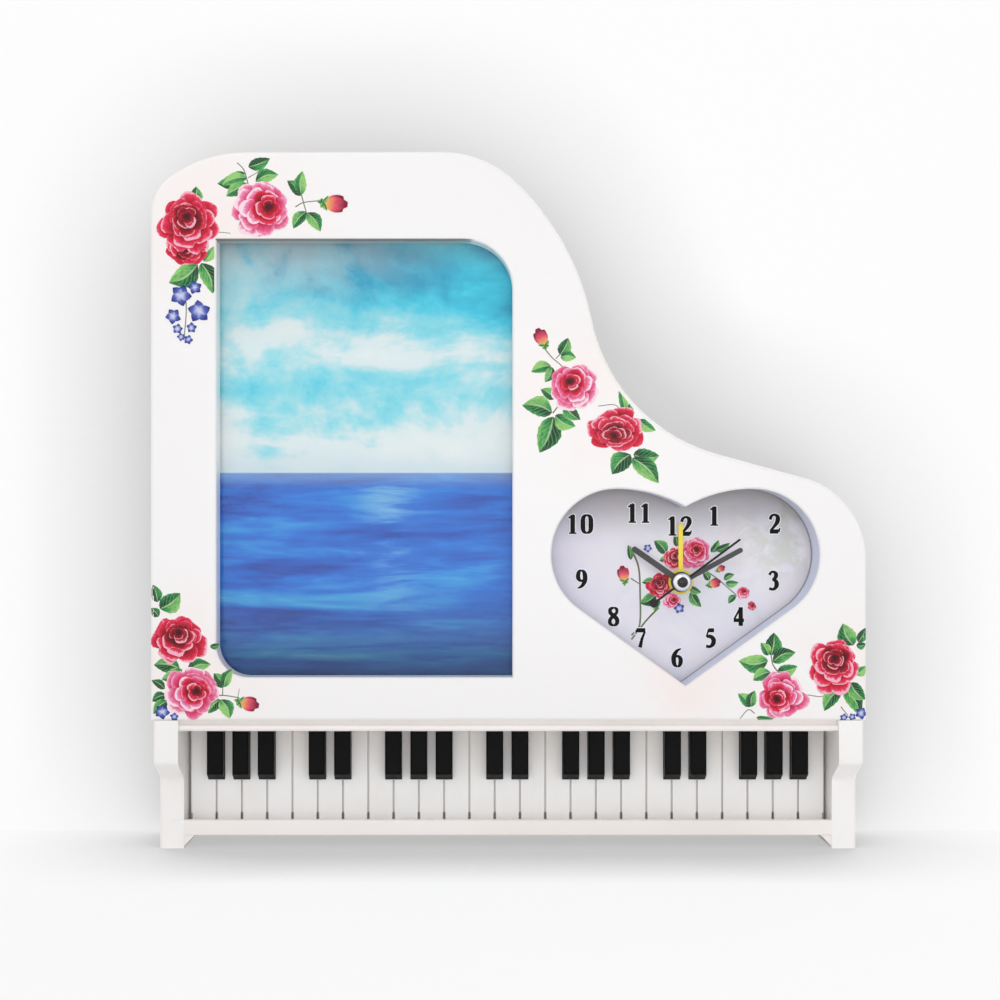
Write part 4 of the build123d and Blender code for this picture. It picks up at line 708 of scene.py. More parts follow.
@dataclass
class Film:
    """Printed patches of one finish on a face that looks to the front."""

    name: str
    kind: Patch
    level: float
    slot: str
    mesh: bmesh.types.BMesh = field(default_factory=bmesh.new)

    SINK = 0.02

    def __post_init__(self) -> None:
        """Adds the layers that the inks read."""
        self.uv = self.mesh.loops.layers.uv.new(UV_MAP)
        self.tone = self.mesh.verts.layers.float.new(TONE_LAYER)

    def patch(self, shape: Shape, divisions: tuple[int, int], lift: float, tone: float,
              cut: Optional[Cut] = None) -> None:
        """Adds one patch.

        Args:
            shape: Gives the place in millimetres from u and v.
            divisions: How many there are along u and along v.
            lift: Height above the face in millimetres.
            tone: Tone from 0 to 1.
            cut: Edge at which the patch ends.
        """
        columns, rows = divisions
        verts = bmesh.ops.create_grid(self.mesh, x_segments=columns, y_segments=rows, size=0.5)["verts"]
        for vert in verts:
            u, v = vert.co.x + 0.5, vert.co.y + 0.5
            for loop in vert.link_loops:
                loop[self.uv].uv = (u, v)
            vert[self.tone] = tone
            x, z = shape(u, v)
            vert.co = (x * MM, (self.level - lift) * MM, z * MM)
        if cut:
            faces = {face for vert in verts for face in vert.link_faces}
            edges = {edge for face in faces for edge in face.edges}
            self.trim(cut, True, [*verts, *edges, *faces])

    def trim(self, cut: Cut, clear: bool, geometry: Optional[Sequence] = None) -> None:
        """Cuts patches along a straight edge.

        Args:
            cut: The edge.
            clear: Whether what lies beyond the edge goes.
            geometry: What is cut, or everything.
        """
        geometry = geometry or [*self.mesh.verts, *self.mesh.edges, *self.mesh.faces]
        point = (cut.at[0] * MM, self.level * MM, cut.at[1] * MM)
        bmesh.ops.bisect_plane(self.mesh, geom=geometry, dist=1e-7, plane_co=point,
                               plane_no=(cut.away[0], 0.0, cut.away[1]), clear_outer=clear)

    def close(self) -> None:
        """Gives the film its thickness and hands over the piece, if anything was printed."""
        if not self.mesh.faces:
            self.mesh.free()
            return
        made = bmesh.ops.extrude_face_region(self.mesh, geom=self.mesh.faces[:], use_keep_orig=True)["geom"]
        for vert in (part for part in made if isinstance(part, bmesh.types.BMVert)):
            vert.co.y = max(vert.co.y + self.SINK * MM, (self.level + self.SINK) * MM)
        bmesh.ops.recalc_face_normals(self.mesh, faces=self.mesh.faces[:])
        add_piece(self.name, self.mesh, INKS[self.kind], "case")


@dataclass
class Press:
    """Films of one print, with the lift and the chances of each patch in the order of printing."""

    films: dict[Patch, Film]
    chance: random.Random
    lift: float = 0.006

    STEP = 0.0009

    def climb(self) -> float:
        """Lift of the next patch in millimetres."""
        self.lift += self.STEP
        return self.lift


def link(name: str, data: bpy.types.ID) -> bpy.types.Object:
    """Adds an object to the scene.

    Args:
        name: Its name.
        data: Its mesh, lamp or camera.

    Returns:
        The object.
    """
    made = bpy.data.objects.new(name, data)
    bpy.context.scene.collection.objects.link(made)
    return made


def settle(name: str, mesh: bmesh.types.BMesh) -> bpy.types.Object:
    """Turns a bmesh into an object of the scene.

    Args:
        name: Name of the object.
        mesh: The bmesh, which is used up.

    Returns:
        The object.
    """
    data = bpy.data.meshes.new(name)
    mesh.to_mesh(data)
    mesh.free()
    return link(name, data)


def add_piece(name: str, mesh: bmesh.types.BMesh, finish: Finish, body: str,
              smooth: bool = False) -> bpy.types.Object:
    """Turns a bmesh into a piece that rides on a body.

    Args:
        name: Name of the piece.
        mesh: Its bmesh, which is used up.
        finish: Its finish.
        body: The body that it moves with.
        smooth: Whether its faces are shaded smooth.

    Returns:
        The new object.
    """
    piece = settle(name, mesh)
    data = piece.data
    data.materials.append(finish.material())
    if smooth:
        data.shade_smooth()
        data.set_sharp_from_angle(angle=SHARP_ANGLE)
    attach(piece, body)
    LOG.info("piece %s: %d faces", name, len(data.polygons))
    return piece


def dress(finish: Finish, *names: str) -> None:
    """Gives CAD nodes a finish.

    Args:
        finish: The finish.
        names: The nodes.
    """
    for name in names:
        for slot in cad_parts[name].material_slots:
            slot.material = finish.material()
        LOG.info("node %s: %s", name, finish.name)


class Path:
    """Smooth line through points, each with the width of the stroke there."""

    NEAR = 0.01

    def __init__(self, points: Sequence[Point]) -> None:
        """Keeps the points, with one more past each end.

        Args:
            points: Places and widths in millimetres.
        """
        first, second = Vector(points[0]), Vector(points[1])
        last, before = Vector(points[-1]), Vector(points[-2])
        self.points = [2 * first - second, *map(Vector, points), 2 * last - before]

    def at(self, share: float) -> Vector:
        """Place and width at a share of the line.

        Args:
            share: From 0 at the start to 1 at the end.

        Returns:
            The place and, in the third part, the width.
        """
        runs = len(self.points) - 3
        run = min(int(share * runs), runs - 1)
        t = share * runs - run
        a, b, c, d = self.points[run:run + 4]
        square, cube = 2 * a - 5 * b + 4 * c - d, 3 * b - a - 3 * c + d
        return 0.5 * (2 * b + (c - a) * t + square * t**2 + cube * t**3)

    def ribbon(self, grow: float = 0.0) -> Shape:
        """Shape of a ribbon along the line.

        Args:
            grow: What is added to each side.

        Returns:
            The shape, with v along the line and u across it.
        """
        def shape(u: float, v: float) -> Flat:
            """Place on the ribbon.

            Args:
                u: From one side to the other.
                v: From the start to the end.

            Returns:
                The place in millimetres.
            """
            here = self.at(v)
            along = self.at(min(v + self.NEAR, 1.0)) - self.at(max(v - self.NEAR, 0.0))
            ahead = Vector((along.x, along.y)).normalized()
            half = (u - 0.5) * (here.z + 2 * grow)
            reach = grow * (2 * v - 1)
            return (here.x + ahead.y * half + ahead.x * reach, here.y - ahead.x * half + ahead.y * reach)
        return shape


@dataclass(frozen=True)
class Ring:
    """One ring of a rose's petals, as shares of its radius."""

    petals: int
    inner: float
    outer: float
    spread: float
    shift: float
    tone: float
    deep: int = 0


@dataclass(frozen=True)
class Rose:
    """Open rose, seen a little from one side."""

    x: float
    z: float
    width: float
    facing: float
    kind: Patch = Patch.RED
    tall: float = 0.96
    cut: Optional[Cut] = None

    RINGS = (
        Ring(7, 0.50, 1.00, 74.0, 0.00, 0.56), Ring(6, 0.40, 0.86, 80.0, 0.05, 0.46),
        Ring(6, 0.30, 0.70, 84.0, 0.12, 0.62), Ring(5, 0.20, 0.55, 96.0, 0.19, 0.40, 1),
        Ring(4, 0.10, 0.40, 116.0, 0.24, 0.62, 1), Ring(3, 0.00, 0.25, 150.0, 0.27, 0.34, 2),
    )
    DEPTHS = {
        Patch.RED: (Patch.RED, Patch.HEART, Patch.HEART),
        Patch.PINK: (Patch.PINK, Patch.RED, Patch.HEART),
    }
    GRID = (7, 5)
    SWAY = 15
    FADE = 0.26
    SHADE = 0.2
    SIZES = (0.84, 1.08)
    PHASES = (0, 6)

    def draw(self, press: Press) -> None:
        """Prints the rose's petals, from the outer ring inwards.

        Args:
            press: The press that prints them.
        """
        chance = press.chance
        for ring in self.RINGS:
            film = press.films[self.DEPTHS[self.kind][ring.deep]]
            start = chance.uniform(0, 360)
            for number in range(ring.petals):
                angle = start + 360 / ring.petals * number + chance.uniform(-self.SWAY, self.SWAY)
                shade = self.SHADE * math.cos(math.radians(angle - self.facing))
                tone = ring.tone + chance.uniform(-self.FADE, self.FADE) - shade
                size, phase = chance.uniform(*self.SIZES), chance.uniform(*self.PHASES)
                shape = self._petal(ring, math.radians(angle), size, phase)
                film.patch(shape, self.GRID, press.climb(), tone, self.cut)

    def _petal(self, ring: Ring, angle: float, size: float, phase: float) -> Shape:
        """Shape of one petal.

        Args:
            ring: The petal's ring.
            angle: Its direction from the rose's middle.
            size: Factor on its reach.
            phase: Where the ripple of its rim starts.

        Returns:
            The shape, with v from the root to the rim.
        """
        radius = self.width / 2
        toward = math.radians(self.facing)
        x = self.x + radius * ring.shift * math.cos(toward)
        z = self.z + self.tall * radius * ring.shift * math.sin(toward)
        half = math.radians(ring.spread) / 2

        def shape(u: float, v: float) -> Flat:
            """Place on the petal.

            Args:
                u: From one side to the other.
                v: From the root to the rim.

            Returns:
                The place in millimetres.
            """
            side = 2 * u - 1
            turn = angle + side * half * (0.62 + 0.38 * math.sin(math.pi * (0.1 + 0.75 * v)))
            rim = 1 - 0.2 * side**4 - 0.04 * side**2 + 0.05 * math.sin(7 * u + phase)
            reach = radius * (ring.inner + (ring.outer * size * rim - ring.inner) * v)
            return (x + reach * math.cos(turn), z + self.tall * reach * math.sin(turn))
        return shape


@dataclass(frozen=True)
class Leaf:
    """Pointed leaf with a toothed edge, from its base to its tip."""

    x: float
    z: float
    tip_x: float
    tip_z: float
    width: float
    tone: float = 0.5
    bend: float = 0.1
    cut: Optional[Cut] = None

    TEETH = 5
    TOOTH = 0.13
    POINT = 0.04
    FADE = 0.18
    GRID = (4, 15)

    def draw(self, press: Press) -> None:
        """Prints the leaf."""
        tone = self.tone + press.chance.uniform(-self.FADE, self.FADE)
        press.films[Patch.LEAF].patch(self.shape(), self.GRID, press.climb(), tone, self.cut)

    def shape(self) -> Shape:
        """Makes the shape of the leaf.

        Returns:
            The shape, with v from the base to the tip.
        """
        start = Vector((self.x, self.z))
        along = Vector((self.tip_x - self.x, self.tip_z - self.z))
        across = Vector((along.y, -along.x)).normalized()

        def shape(u: float, v: float) -> Flat:
            """Place on the leaf.

            Args:
                u: From one side to the other.
                v: From the base to the tip.

            Returns:
                The place in millimetres.
            """
            tooth = 1 + self.TOOTH * (1 - (v * self.TEETH) % 1)
            half = 0.6 * self.width * math.sin(math.pi * v**0.8) ** 0.85 * tooth if 0 < v < 1 else self.POINT
            bow = self.bend * along.length * math.sin(math.pi * v)
            here = start + along * v + across * ((2 * u - 1) * half + bow)
            return (here.x, here.y)
        return shape


@dataclass(frozen=True)
class Stem:
    """Thin stem through a number of points."""

    points: tuple[Flat, ...]
    width: float = 0.35

    def draw(self, press: Press) -> None:
        """Prints the stem.

        Args:
            press: The press that prints it.
        """
        line = Path([(x, z, self.width) for x, z in self.points])
        grid = (1, ROWS_PER_POINT * len(self.points))
        press.films[Patch.STEM].patch(line.ribbon(), grid, press.climb(), press.chance.uniform(*TONES))


@dataclass(frozen=True)
class Bud:
    """Closed bud with its sepals."""

    x: float
    z: float
    length: float
    facing: float

    PETALS = ((16, 0.86, 0.7), (-16, 0.86, 0.3), (0, 1.0, 0.5))
    SEPALS = ((58, 0.36), (-58, 0.36), (170, 0.26), (120, 0.2), (-110, 0.22))
    GRID = (4, 6)

    def draw(self, press: Press) -> None:
        """Prints the bud's petals and its sepals.

        Args:
            press: The press that prints them.
        """
        for turn, size, tone in self.PETALS:
            press.films[Patch.BUD].patch(self._petal(turn, size), self.GRID, press.climb(), tone)
        for turn, size in self.SEPALS:
            tip = self._from_base(self.length * size, turn)
            Leaf(*self._from_base(0, 0), *tip, 0.13 * self.length, 0.6, 0.08).draw(press)

    def _from_base(self, reach: float, turn: float) -> Flat:
        """Finds a point at a distance from the bud's base.

        Args:
            reach: The distance.
            turn: Its direction, in degrees from the bud's own.

        Returns:
            The point.
        """
        back, way = math.radians(self.facing), math.radians(self.facing + turn)
        return (self.x - 0.5 * self.length * math.cos(back) + reach * math.cos(way),
                self.z - 0.5 * self.length * math.sin(back) + reach * math.sin(way))

    def _petal(self, turn: float, size: float) -> Shape:
        """Makes the shape of one petal.

        Args:
            turn: How far it leans, in degrees.
            size: Factor on its length.

        Returns:
            The shape, with v from the base to the tip.
        """
        def shape(u: float, v: float) -> Flat:
            """Place on the petal.

            Args:
                u: From one side to the other.
                v: From the base to the tip.

            Returns:
                The place in millimetres.
            """
            half = 0.26 * size * self.length * math.sin(math.pi * (0.06 + 0.84 * v)) ** 0.8
            way = math.radians(self.facing + turn * v)
            x, z = self._from_base(v * size * self.length, turn)
            return (x + (2 * u - 1) * half * math.sin(way), z - (2 * u - 1) * half * math.cos(way))
        return shape


@dataclass(frozen=True)
class Bell:
    """Small blue flower with pointed petals."""

    x: float
    z: float
    width: float
    facing: float

    PETALS = 5
    SWAY = 8
    GRID = (3, 6)

    def draw(self, press: Press) -> None:
        """Prints the petals.

        Args:
            press: The press that prints them.
        """
        for number in range(self.PETALS):
            sway = press.chance.uniform(-self.SWAY, self.SWAY)
            angle = math.radians(self.facing + 360 / self.PETALS * number + sway)
            tip = (self.x + 0.5 * self.width * math.cos(angle), self.z + 0.5 * self.width * math.sin(angle))
            petal = Leaf(self.x, self.z, *tip, 0.33 * self.width, bend=0.04).shape()
            press.films[Patch.BELL].patch(petal, self.GRID, press.climb(), press.chance.uniform(*TONES))


Element = Union[Rose, Leaf, Stem, Bud, Bell]


def spray(*groups: Sequence) -> tuple[Element, ...]:
    """Lists the elements of a print from groups of a kind and its rows of values."""
    return tuple(kind(*row) for kind, *rows in groups for row in rows)


ABOVE_WINDOW = Cut((-48.0, 206.6), (0.0, -1.0))
LEFT_OF_WINDOW = Cut((-98.4, 132.0), (1.0, 0.0))
CORNER = Cut((-98.4, 206.6), (0.707, -0.707))
BEND_UPPER = Cut((39.1, 152.6), (0.772, 0.636))
BEND_LOWER = Cut((46.9, 144.8), (0.642, 0.766))

TOP_LEFT = spray(
    (Stem, (((-71.3, 216.8), (-68.4, 218.3), (-62.1, 219)),),
     (((-87, 224), (-88.5, 229.1), (-90.8, 231.6)),), (((-69.3, 220.8), (-68.6, 218.4), (-67.6, 214.8)),),
     (((-100, 206.6), (-97, 208.2), (-93, 208)), 0.25), (((-108.3, 192), (-107.8, 182), (-108.5, 173)),),
     (((-87.2, 226.5), (-84, 228.4), (-81, 231)), 0.25)),
    (Leaf, (-87, 230.2, -79.8, 233, 3.3, 0.45, 0.05), (-88.3, 228.2, -97.4, 224.6, 4.4, 0.35, -0.16),
     (-86.7, 223.9, -94.4, 220.4, 4, 0.5), (-84.6, 225.2, -77, 227.6, 3.8, 0.7, -0.12),
     (-87.5, 226.6, -95.8, 224, 3, 0.85, 0.12), (-69.3, 220.6, -74, 225.6, 3.1, 0.4),
     (-69.3, 220.9, -68.9, 228.8, 3.3, 0.85, -0.08), (-67.6, 215.2, -72, 209.6, 3.2, 0.65),
     (-67.5, 214.8, -62.9, 208.6, 3.6, 0.7, -0.1), (-104.9, 218, -104.5, 223.6, 3.4, 0.4, 0.05),
     (-109, 216.5, -116.6, 211.6, 3.4, 0.3, -0.14), (-104, 197.6, -113.6, 191.4, 6, 0.75, -0.12),
     (-102.8, 198, -98.9, 187.8, 4.6, 0.6, -0.1, LEFT_OF_WINDOW),
     (-102, 198.6, -98.6, 203.6, 2.6, 0.9, 0.1, LEFT_OF_WINDOW)),
    (Rose, (-107.6, 204, 14.8, 250), (-106.8, 211, 20, 110, Patch.RED, 1, CORNER),
     (-83, 216, 21.4, 20, Patch.PINK, 0.96, ABOVE_WINDOW)),
    (Bud, (-57.9, 217.9, 8.2, -4)),
    (Bell, (-109.6, 187.2, 7.4, 70), (-104.9, 189.9, 4.8, 30), (-103.5, 181.8, 7.8, 100),
     (-112.1, 180.2, 5.4, 50), (-110.7, 176, 3.6, 10), (-106, 176.4, 3.6, 85), (-109.5, 173.3, 2.8, 40),
     (-107.1, 172.4, 3.2, 0)),
)

BEND = spray(
    (Stem, (((12, 169.5), (14.6, 166.4), (17.4, 164), (20, 161)),), (((17.4, 167.6), (15.8, 166)), 0.3),
     (((30, 150.2), (36, 150.4), (38, 146)), 0.25), (((14.8, 147.8), (17, 150.6), (19, 153)), 0.4)),
    (Leaf, (17.2, 167.4, 20, 173, 3.4, 0.7, 0.08), (17.4, 166.6, 22.6, 166.4, 3, 0.8, -0.1),
     (14.2, 163.6, 7.6, 161.6, 3.2, 0.85), (14.6, 163.2, 12.2, 158.2, 2.8, 0.5, -0.1),
     (15.4, 152.6, 10.8, 155.8, 3, 0.6), (14.6, 148, 4.6, 150.4, 5.2, 0.55, 0.12),
     (15, 146.6, 10.4, 134.6, 6.2, 0.5, -0.06), (15.6, 147, 22.4, 143.4, 4, 0.75, 0.12),
     (18.6, 150.6, 24, 145.6, 3.6, 0.35, 0.08), (38.8, 148.4, 37, 156.4, 2.4, 0.9, 0.06, BEND_UPPER),
     (40.2, 147.6, 40.8, 151.6, 1.8, 0.6, 0.08, BEND_UPPER),
     (43.8, 145.6, 49.2, 142, 3, 0.8, 0.1, BEND_LOWER), (40.8, 134, 34.6, 127.4, 5.2, 0.45),
     (41.8, 134, 50.4, 133.6, 4.8, 0.6, 0.12), (41.4, 132.8, 50.2, 124.4, 5, 0.55, -0.08)),
    (Bud, (10.9, 173.2, 6.4, 114)),
    (Rose, (22.4, 156.8, 17.4, 135, Patch.PINK), (35.8, 142.4, 19.6, 262, Patch.RED, 0.78)),
)

LOW_LEFT = spray(
    (Stem, (((-99.6, 52.8), (-95.6, 53.4), (-90, 52.6)),), (((-95.6, 53.4), (-95.6, 56.2)), 0.3),
     (((-90.6, 52.6), (-90, 55.6)), 0.2)),
    (Leaf, (-117.4, 84.6, -118.9, 90.4, 3, 0.4, 0.05), (-116.6, 82.4, -109.8, 87.6, 5.2, 0.6),
     (-117, 79.8, -119.6, 82.6, 2.4, 0.2, 0.05), (-99.8, 69.6, -96.6, 70.6, 1.6, 0.4),
     (-110, 62.4, -118.6, 63.6, 4.6, 0.5), (-109.2, 62, -116, 58.8, 3.8, 0.75, -0.1),
     (-107.4, 61.4, -99.6, 63.8, 3.8, 0.7, -0.12), (-95.4, 56, -98.6, 60.8, 3.2, 0.65),
     (-95.2, 56.2, -92.4, 62.2, 3, 0.85, -0.1), (-96.4, 52, -100.4, 47.4, 3.4, 0.6),
     (-96.2, 52, -93.2, 45.6, 3.8, 0.75, -0.1), (-115, 55.6, -119.4, 58.4, 2.2, 0.1),
     (-114.6, 53.6, -119.2, 51.4, 2.6, 0.2), (-114, 51.6, -118.8, 47.2, 2.8, 0.4)),
    (Rose, (-110.2, 71.8, 18.8, 92), (-106.8, 54.6, 18.6, 5, Patch.PINK)),
    (Bud, (-86.8, 50.6, 6.8, -12)),
    (Bell, (-115.8, 47.9, 5.2, 60), (-111.8, 46.2, 3, 20)),
)

LOW_RIGHT = spray(
    (Stem, (((91, 60.4), (88.6, 63.4), (87.8, 67)), 0.4), (((82.4, 47.4), (80.2, 48.6), (77.4, 45.6)), 0.3),
     (((99.6, 53.6), (105.2, 53.2), (107, 57)), 0.25), (((111.2, 49.6), (113.6, 46.6)), 0.3)),
    (Leaf, (87.8, 66.8, 88.8, 74.4, 4.4, 0.35, 0.06), (87, 66.8, 84.4, 71, 2.6, 0.85),
     (86.8, 65, 77, 65, 4.8, 0.6, -0.12), (88.4, 64.6, 96, 67.8, 3.8, 0.5, -0.12),
     (90, 61.4, 96.6, 63.2, 3.4, 0.7), (87.6, 61.2, 81.8, 58.4, 3.4, 0.75), (81, 49.6, 76.8, 54, 3, 0.85),
     (81.2, 49.6, 82.4, 55, 2.8, 0.5, -0.1), (83, 46, 89, 45.8, 1.8, 0.8),
     (115.4, 70.2, 111.8, 77.4, 5, 0.5, -0.1), (117, 71.2, 119.6, 76, 2.6, 0.3, 0.05),
     (116.4, 70, 119.6, 70.6, 2, 0.4), (110.8, 55.4, 105.6, 48.2, 4, 0.75),
     (112.4, 55.6, 117.6, 46.8, 4.2, 0.5, -0.1), (114.4, 57.6, 119.4, 52, 4, 0.6),
     (116, 60.4, 119.6, 63.2, 2.6, 0.8)),
    (Rose, (91.8, 53.2, 16.8, 205, Patch.PINK), (108.8, 63.2, 18.8, 84)),
    (Bell, (118, 47.4, 4.2, 60), (112.2, 46, 2.8, 10), (115, 46.2, 2.6, 40)),
)

ON_DIAL = spray(
    (Stem, (((42, 103), (45, 96), (45.6, 86), (45.4, 76), (42.6, 72.4)), 0.6),
     (((52, 82), (47.6, 77.4), (42.6, 71)), 0.6), (((66, 96), (72, 92), (79, 86)), 0.4),
     (((42.4, 92), (45.6, 90)), 0.4)),
    (Leaf, (42.4, 98.4, 41.4, 103.6, 1.6, 0.4, 0.05), (54.6, 100.6, 50.4, 105, 3.2, 0.5),
     (56.4, 98.4, 52.2, 98.2, 2.2, 0.5), (70, 101, 72.6, 105.2, 2, 0.4), (71.6, 101.6, 76.4, 104.2, 2, 0.5),
     (58.2, 103, 57.4, 107, 2, 0.3), (51, 90.4, 46.2, 90.6, 2.2, 0.5),
     (51, 86.6, 45.6, 83.4, 3.4, 0.45, -0.1), (52, 85, 50.6, 80.6, 2.2, 0.6),
     (63, 87.4, 66.6, 82.2, 2.6, 0.5), (62.6, 89, 66.6, 87.2, 2, 0.5), (69.4, 91.4, 67.2, 94, 2, 0.4),
     (75, 90.4, 79.4, 90.6, 2, 0.6), (74.4, 91.6, 78, 93.4, 1.8, 0.5, -0.1),
     (78.4, 86.2, 76, 83.4, 1.8, 0.5)),
    (Rose, (57.2, 98.8, 8, 60), (64.2, 100.6, 11.4, 60, Patch.PINK), (52.6, 89.4, 9.4, 120),
     (56.4, 84.4, 6.4, 20, Patch.PINK)),
    (Bud, (39.8, 93.6, 5.6, 100), (71.2, 90.4, 4.4, 20), (73.4, 95.4, 3, 30)),
    (Rose, (81, 87, 5.2, 60, Patch.PINK), (84, 82.4, 3.4, 60)),
    (Bell, (48.2, 102.4, 3, 60), (59, 81.8, 3.8, 30)),
)


@dataclass
class FlowerPrint:
    """Printed flowers on one face."""

    name: str
    elements: tuple[Element, ...]
    level: float
    slot: str
    seed: int
    edges: tuple[Cut, ...] = ()
    rounding: float = 0.0

    KINDS = (Patch.HEART, Patch.RED, Patch.PINK, Patch.LEAF, Patch.STEM, Patch.BUD, Patch.BELL)
    LOOPS = (1.0, 0.62, 0.36, 0.18)
    RIM = 0.08

    def build(self) -> None:
        """Prints the elements in order, trims them to the face and closes the films."""
        films = {kind: Film(f"{self.name}_{kind.value}", kind, self.level, self.slot) for kind in self.KINDS}
        press = Press(films, random.Random(self.seed))
        for element in self.elements:
            element.draw(press)
        for film in films.values():
            for edge in self.edges:
                self._wrap(film, edge)
            film.close()

    def _wrap(self, film: Film, edge: Cut) -> None:
        """Lays a film round the rounded edge of the face and trims it there.

        Args:
            film: The film.
            edge: The face's outer edge.
        """
        for share in self.LOOPS:
            film.trim(edge.back(share * self.rounding), False)
        film.trim(edge.back(self.RIM), True)
        away = Vector((edge.away[0], 0.0, edge.away[1]))
        origin = Vector((edge.at[0] * MM, 0.0, edge.at[1] * MM))
        radius = self.rounding * MM
        for vert in film.mesh.verts:
            beyond = radius + (vert.co - origin).dot(away)
            if beyond > 0:
                vert.co.y += radius - math.sqrt(max(radius**2 - min(beyond, radius) ** 2, 0.0))


# Strokes of the digits, with places and widths in hundredths of their height
DIGITS: dict[str, tuple[tuple[Point, ...], ...]] = {
    "0": (
        ((33, 98, 7), (15, 84, 17), (12, 50, 20), (15, 16, 17), (33, 2, 7)),
        ((33, 98, 7), (51, 84, 17), (54, 50, 20), (51, 16, 17), (33, 2, 7)),
    ),
    "1": (
        ((28, 97, 19), (28, 4, 19)),
        ((6, 82, 6), (20, 88, 9), (34, 99, 6)),
        ((8, 3, 6), (48, 3, 6)),
    ),
    "2": (
        ((7, 70, 13), (13, 87, 12), (30, 95, 10), (46, 84, 17), (46, 64, 19), (34, 42, 14), (8, 13, 8)),
        ((5, 9, 18), (50, 9, 18)),
        ((50, 6, 10), (58, 27, 5)),
    ),
    "3": (
        ((9, 78, 11), (17, 91, 10), (30, 95, 10), (43, 84, 17), (41, 66, 16), (24, 55, 7)),
        ((24, 55, 7), (43, 46, 16), (47, 26, 19), (36, 8, 13), (20, 5, 11), (8, 10, 12)),
    ),
    "4": (
        ((40, 98, 18), (40, 2, 18)),
        ((38, 96, 8), (6, 36, 8)),
        ((3, 31, 15), (57, 31, 15)),
    ),
    "5": (
        ((20, 90, 17), (50, 90, 17)),
        ((21, 94, 7), (10, 56, 7)),
        ((12, 58, 12), (32, 58, 16), (47, 42, 19), (44, 20, 18), (28, 6, 12), (8, 9, 13)),
    ),
    "6": (
        ((52, 96, 5), (30, 84, 13), (15, 58, 19), (14, 30, 19), (20, 12, 15), (33, 3, 7)),
        ((16, 50, 8), (34, 58, 10), (48, 46, 17), (50, 28, 18), (44, 10, 14), (33, 3, 7)),
    ),
    "7": (
        ((7, 90, 18), (54, 90, 18)),
        ((6, 92, 7), (5, 70, 5)),
        ((52, 84, 8), (36, 44, 12), (26, 2, 16)),
    ),
    "8": (
        ((33, 97, 8), (16, 88, 15), (15, 70, 16), (34, 53, 18), (50, 36, 18), (49, 14, 16), (33, 3, 8)),
        ((33, 97, 8), (48, 88, 13), (48, 70, 13), (32, 54, 14), (14, 34, 15), (15, 14, 15), (33, 3, 8)),
    ),
    "9": (
        ((12, 4, 5), (34, 16, 13), (49, 42, 19), (50, 70, 19), (44, 88, 15), (31, 97, 7)),
        ((48, 50, 8), (30, 42, 10), (16, 54, 17), (14, 72, 18), (20, 90, 14), (31, 97, 7)),
    ),
}


@dataclass
class Dial:
    """Dial plate with its numerals and its printed flowers."""

    level: float = -5.2
    height: float = 6.7
    box: float = 0.62
    advance: float = 0.68
    narrow: float = 0.98
    weight: float = 1.24
    edging: float = 0.3
    edging_lift: float = 0.16
    ink_lift: float = 0.19
    stroke_lift: float = 0.004
    tone: float = 0.5
    seed: int = 29
    numerals: tuple[tuple[str, float, float], ...] = (
        ("10", 24.9, 110.7), ("11", 45.4, 114.5), ("12", 59.2, 110.1), ("1", 71.3, 113.5), ("2", 91.9, 110.9),
        ("3", 91.5, 91.3), ("4", 79.6, 78.9), ("5", 69.8, 71.5), ("6", 58.3, 64.8), ("7", 45.9, 71.5),
        ("8", 36.4, 78.9), ("9", 25.4, 91.7))

    def build(self) -> None:
        """Dresses the plate and prints on it."""
        dress(DialPaper("dial_paper"), "dial")
        FlowerPrint("dial_flowers", ON_DIAL, self.level, "dial_face", self.seed).build()
        edging = Film("dial_numeral_edging", Patch.EDGING, self.level, "dial_face")
        ink = Film("dial_numerals", Patch.NUMERAL, self.level, "dial_face")
        for text, x, z in self.numerals:
            left = x - self.height * (self.advance * (len(text) - 1) + self.box) / 2
            for number, digit in enumerate(text):
                here = left + number * self.advance * self.height
                self._digit(digit, here, z - self.height / 2, ink, edging)
        edging.close()
        ink.close()

    def _digit(self, digit: str, x: float, z: float, ink: Film, edging: Film) -> None:
        """Prints one digit and its pale edging.

        Args:
            digit: The digit.
            x: Left side of its box.
            z: Lower side of its box.
            ink: Film of the digits.
            edging: Film of the edging.
        """
        size = self.height
        for number, stroke in enumerate(DIGITS[digit]):
            line = Path([(x + across / 100 * size * self.narrow, z + up / 100 * size,
                          width / 100 * size * self.weight) for across, up, width in stroke])
            rows = ROWS_PER_POINT * len(stroke)
            lift = self.stroke_lift * number
            edging.patch(line.ribbon(self.edging), (1, rows), self.edging_lift + lift, self.tone)
            ink.patch(line.ribbon(), (2, rows), self.ink_lift + lift, self.tone)


@dataclass
class Lid:
    """Front shell and the flowers printed on it."""

    level: float = -20.0
    left: float = -119.8
    right: float = 119.8
    low: float = 45.0
    rounding: float = 1.2
    first_seed: int = 5

    SPRAYS = {"top_left": TOP_LEFT, "bend": BEND, "low_left": LOW_LEFT, "low_right": LOW_RIGHT}

    def build(self) -> None:
        """Dresses the shell and prints the four sprays."""
        dress(LidWhite("lid_white"), "front_shell")
        edges = (Cut((self.left, self.low), (-1.0, 0.0)), Cut((self.right, self.low), (1.0, 0.0)),
                 Cut((0.0, self.low), (0.0, -1.0)))
        for seed, (name, elements) in enumerate(self.SPRAYS.items(), start=self.first_seed):
            FlowerPrint(f"{name}_spray", elements, self.level, "shell_white", seed, edges,
                        self.rounding).build()


class Dressed:
    """Sub-assembly whose CAD nodes get finishes."""

    WEAR: dict[Finish, tuple[str, ...]] = {}

    def build(self) -> None:
        """Gives the nodes their finishes."""
        for finish, names in self.WEAR.items():
            dress(finish, *names)


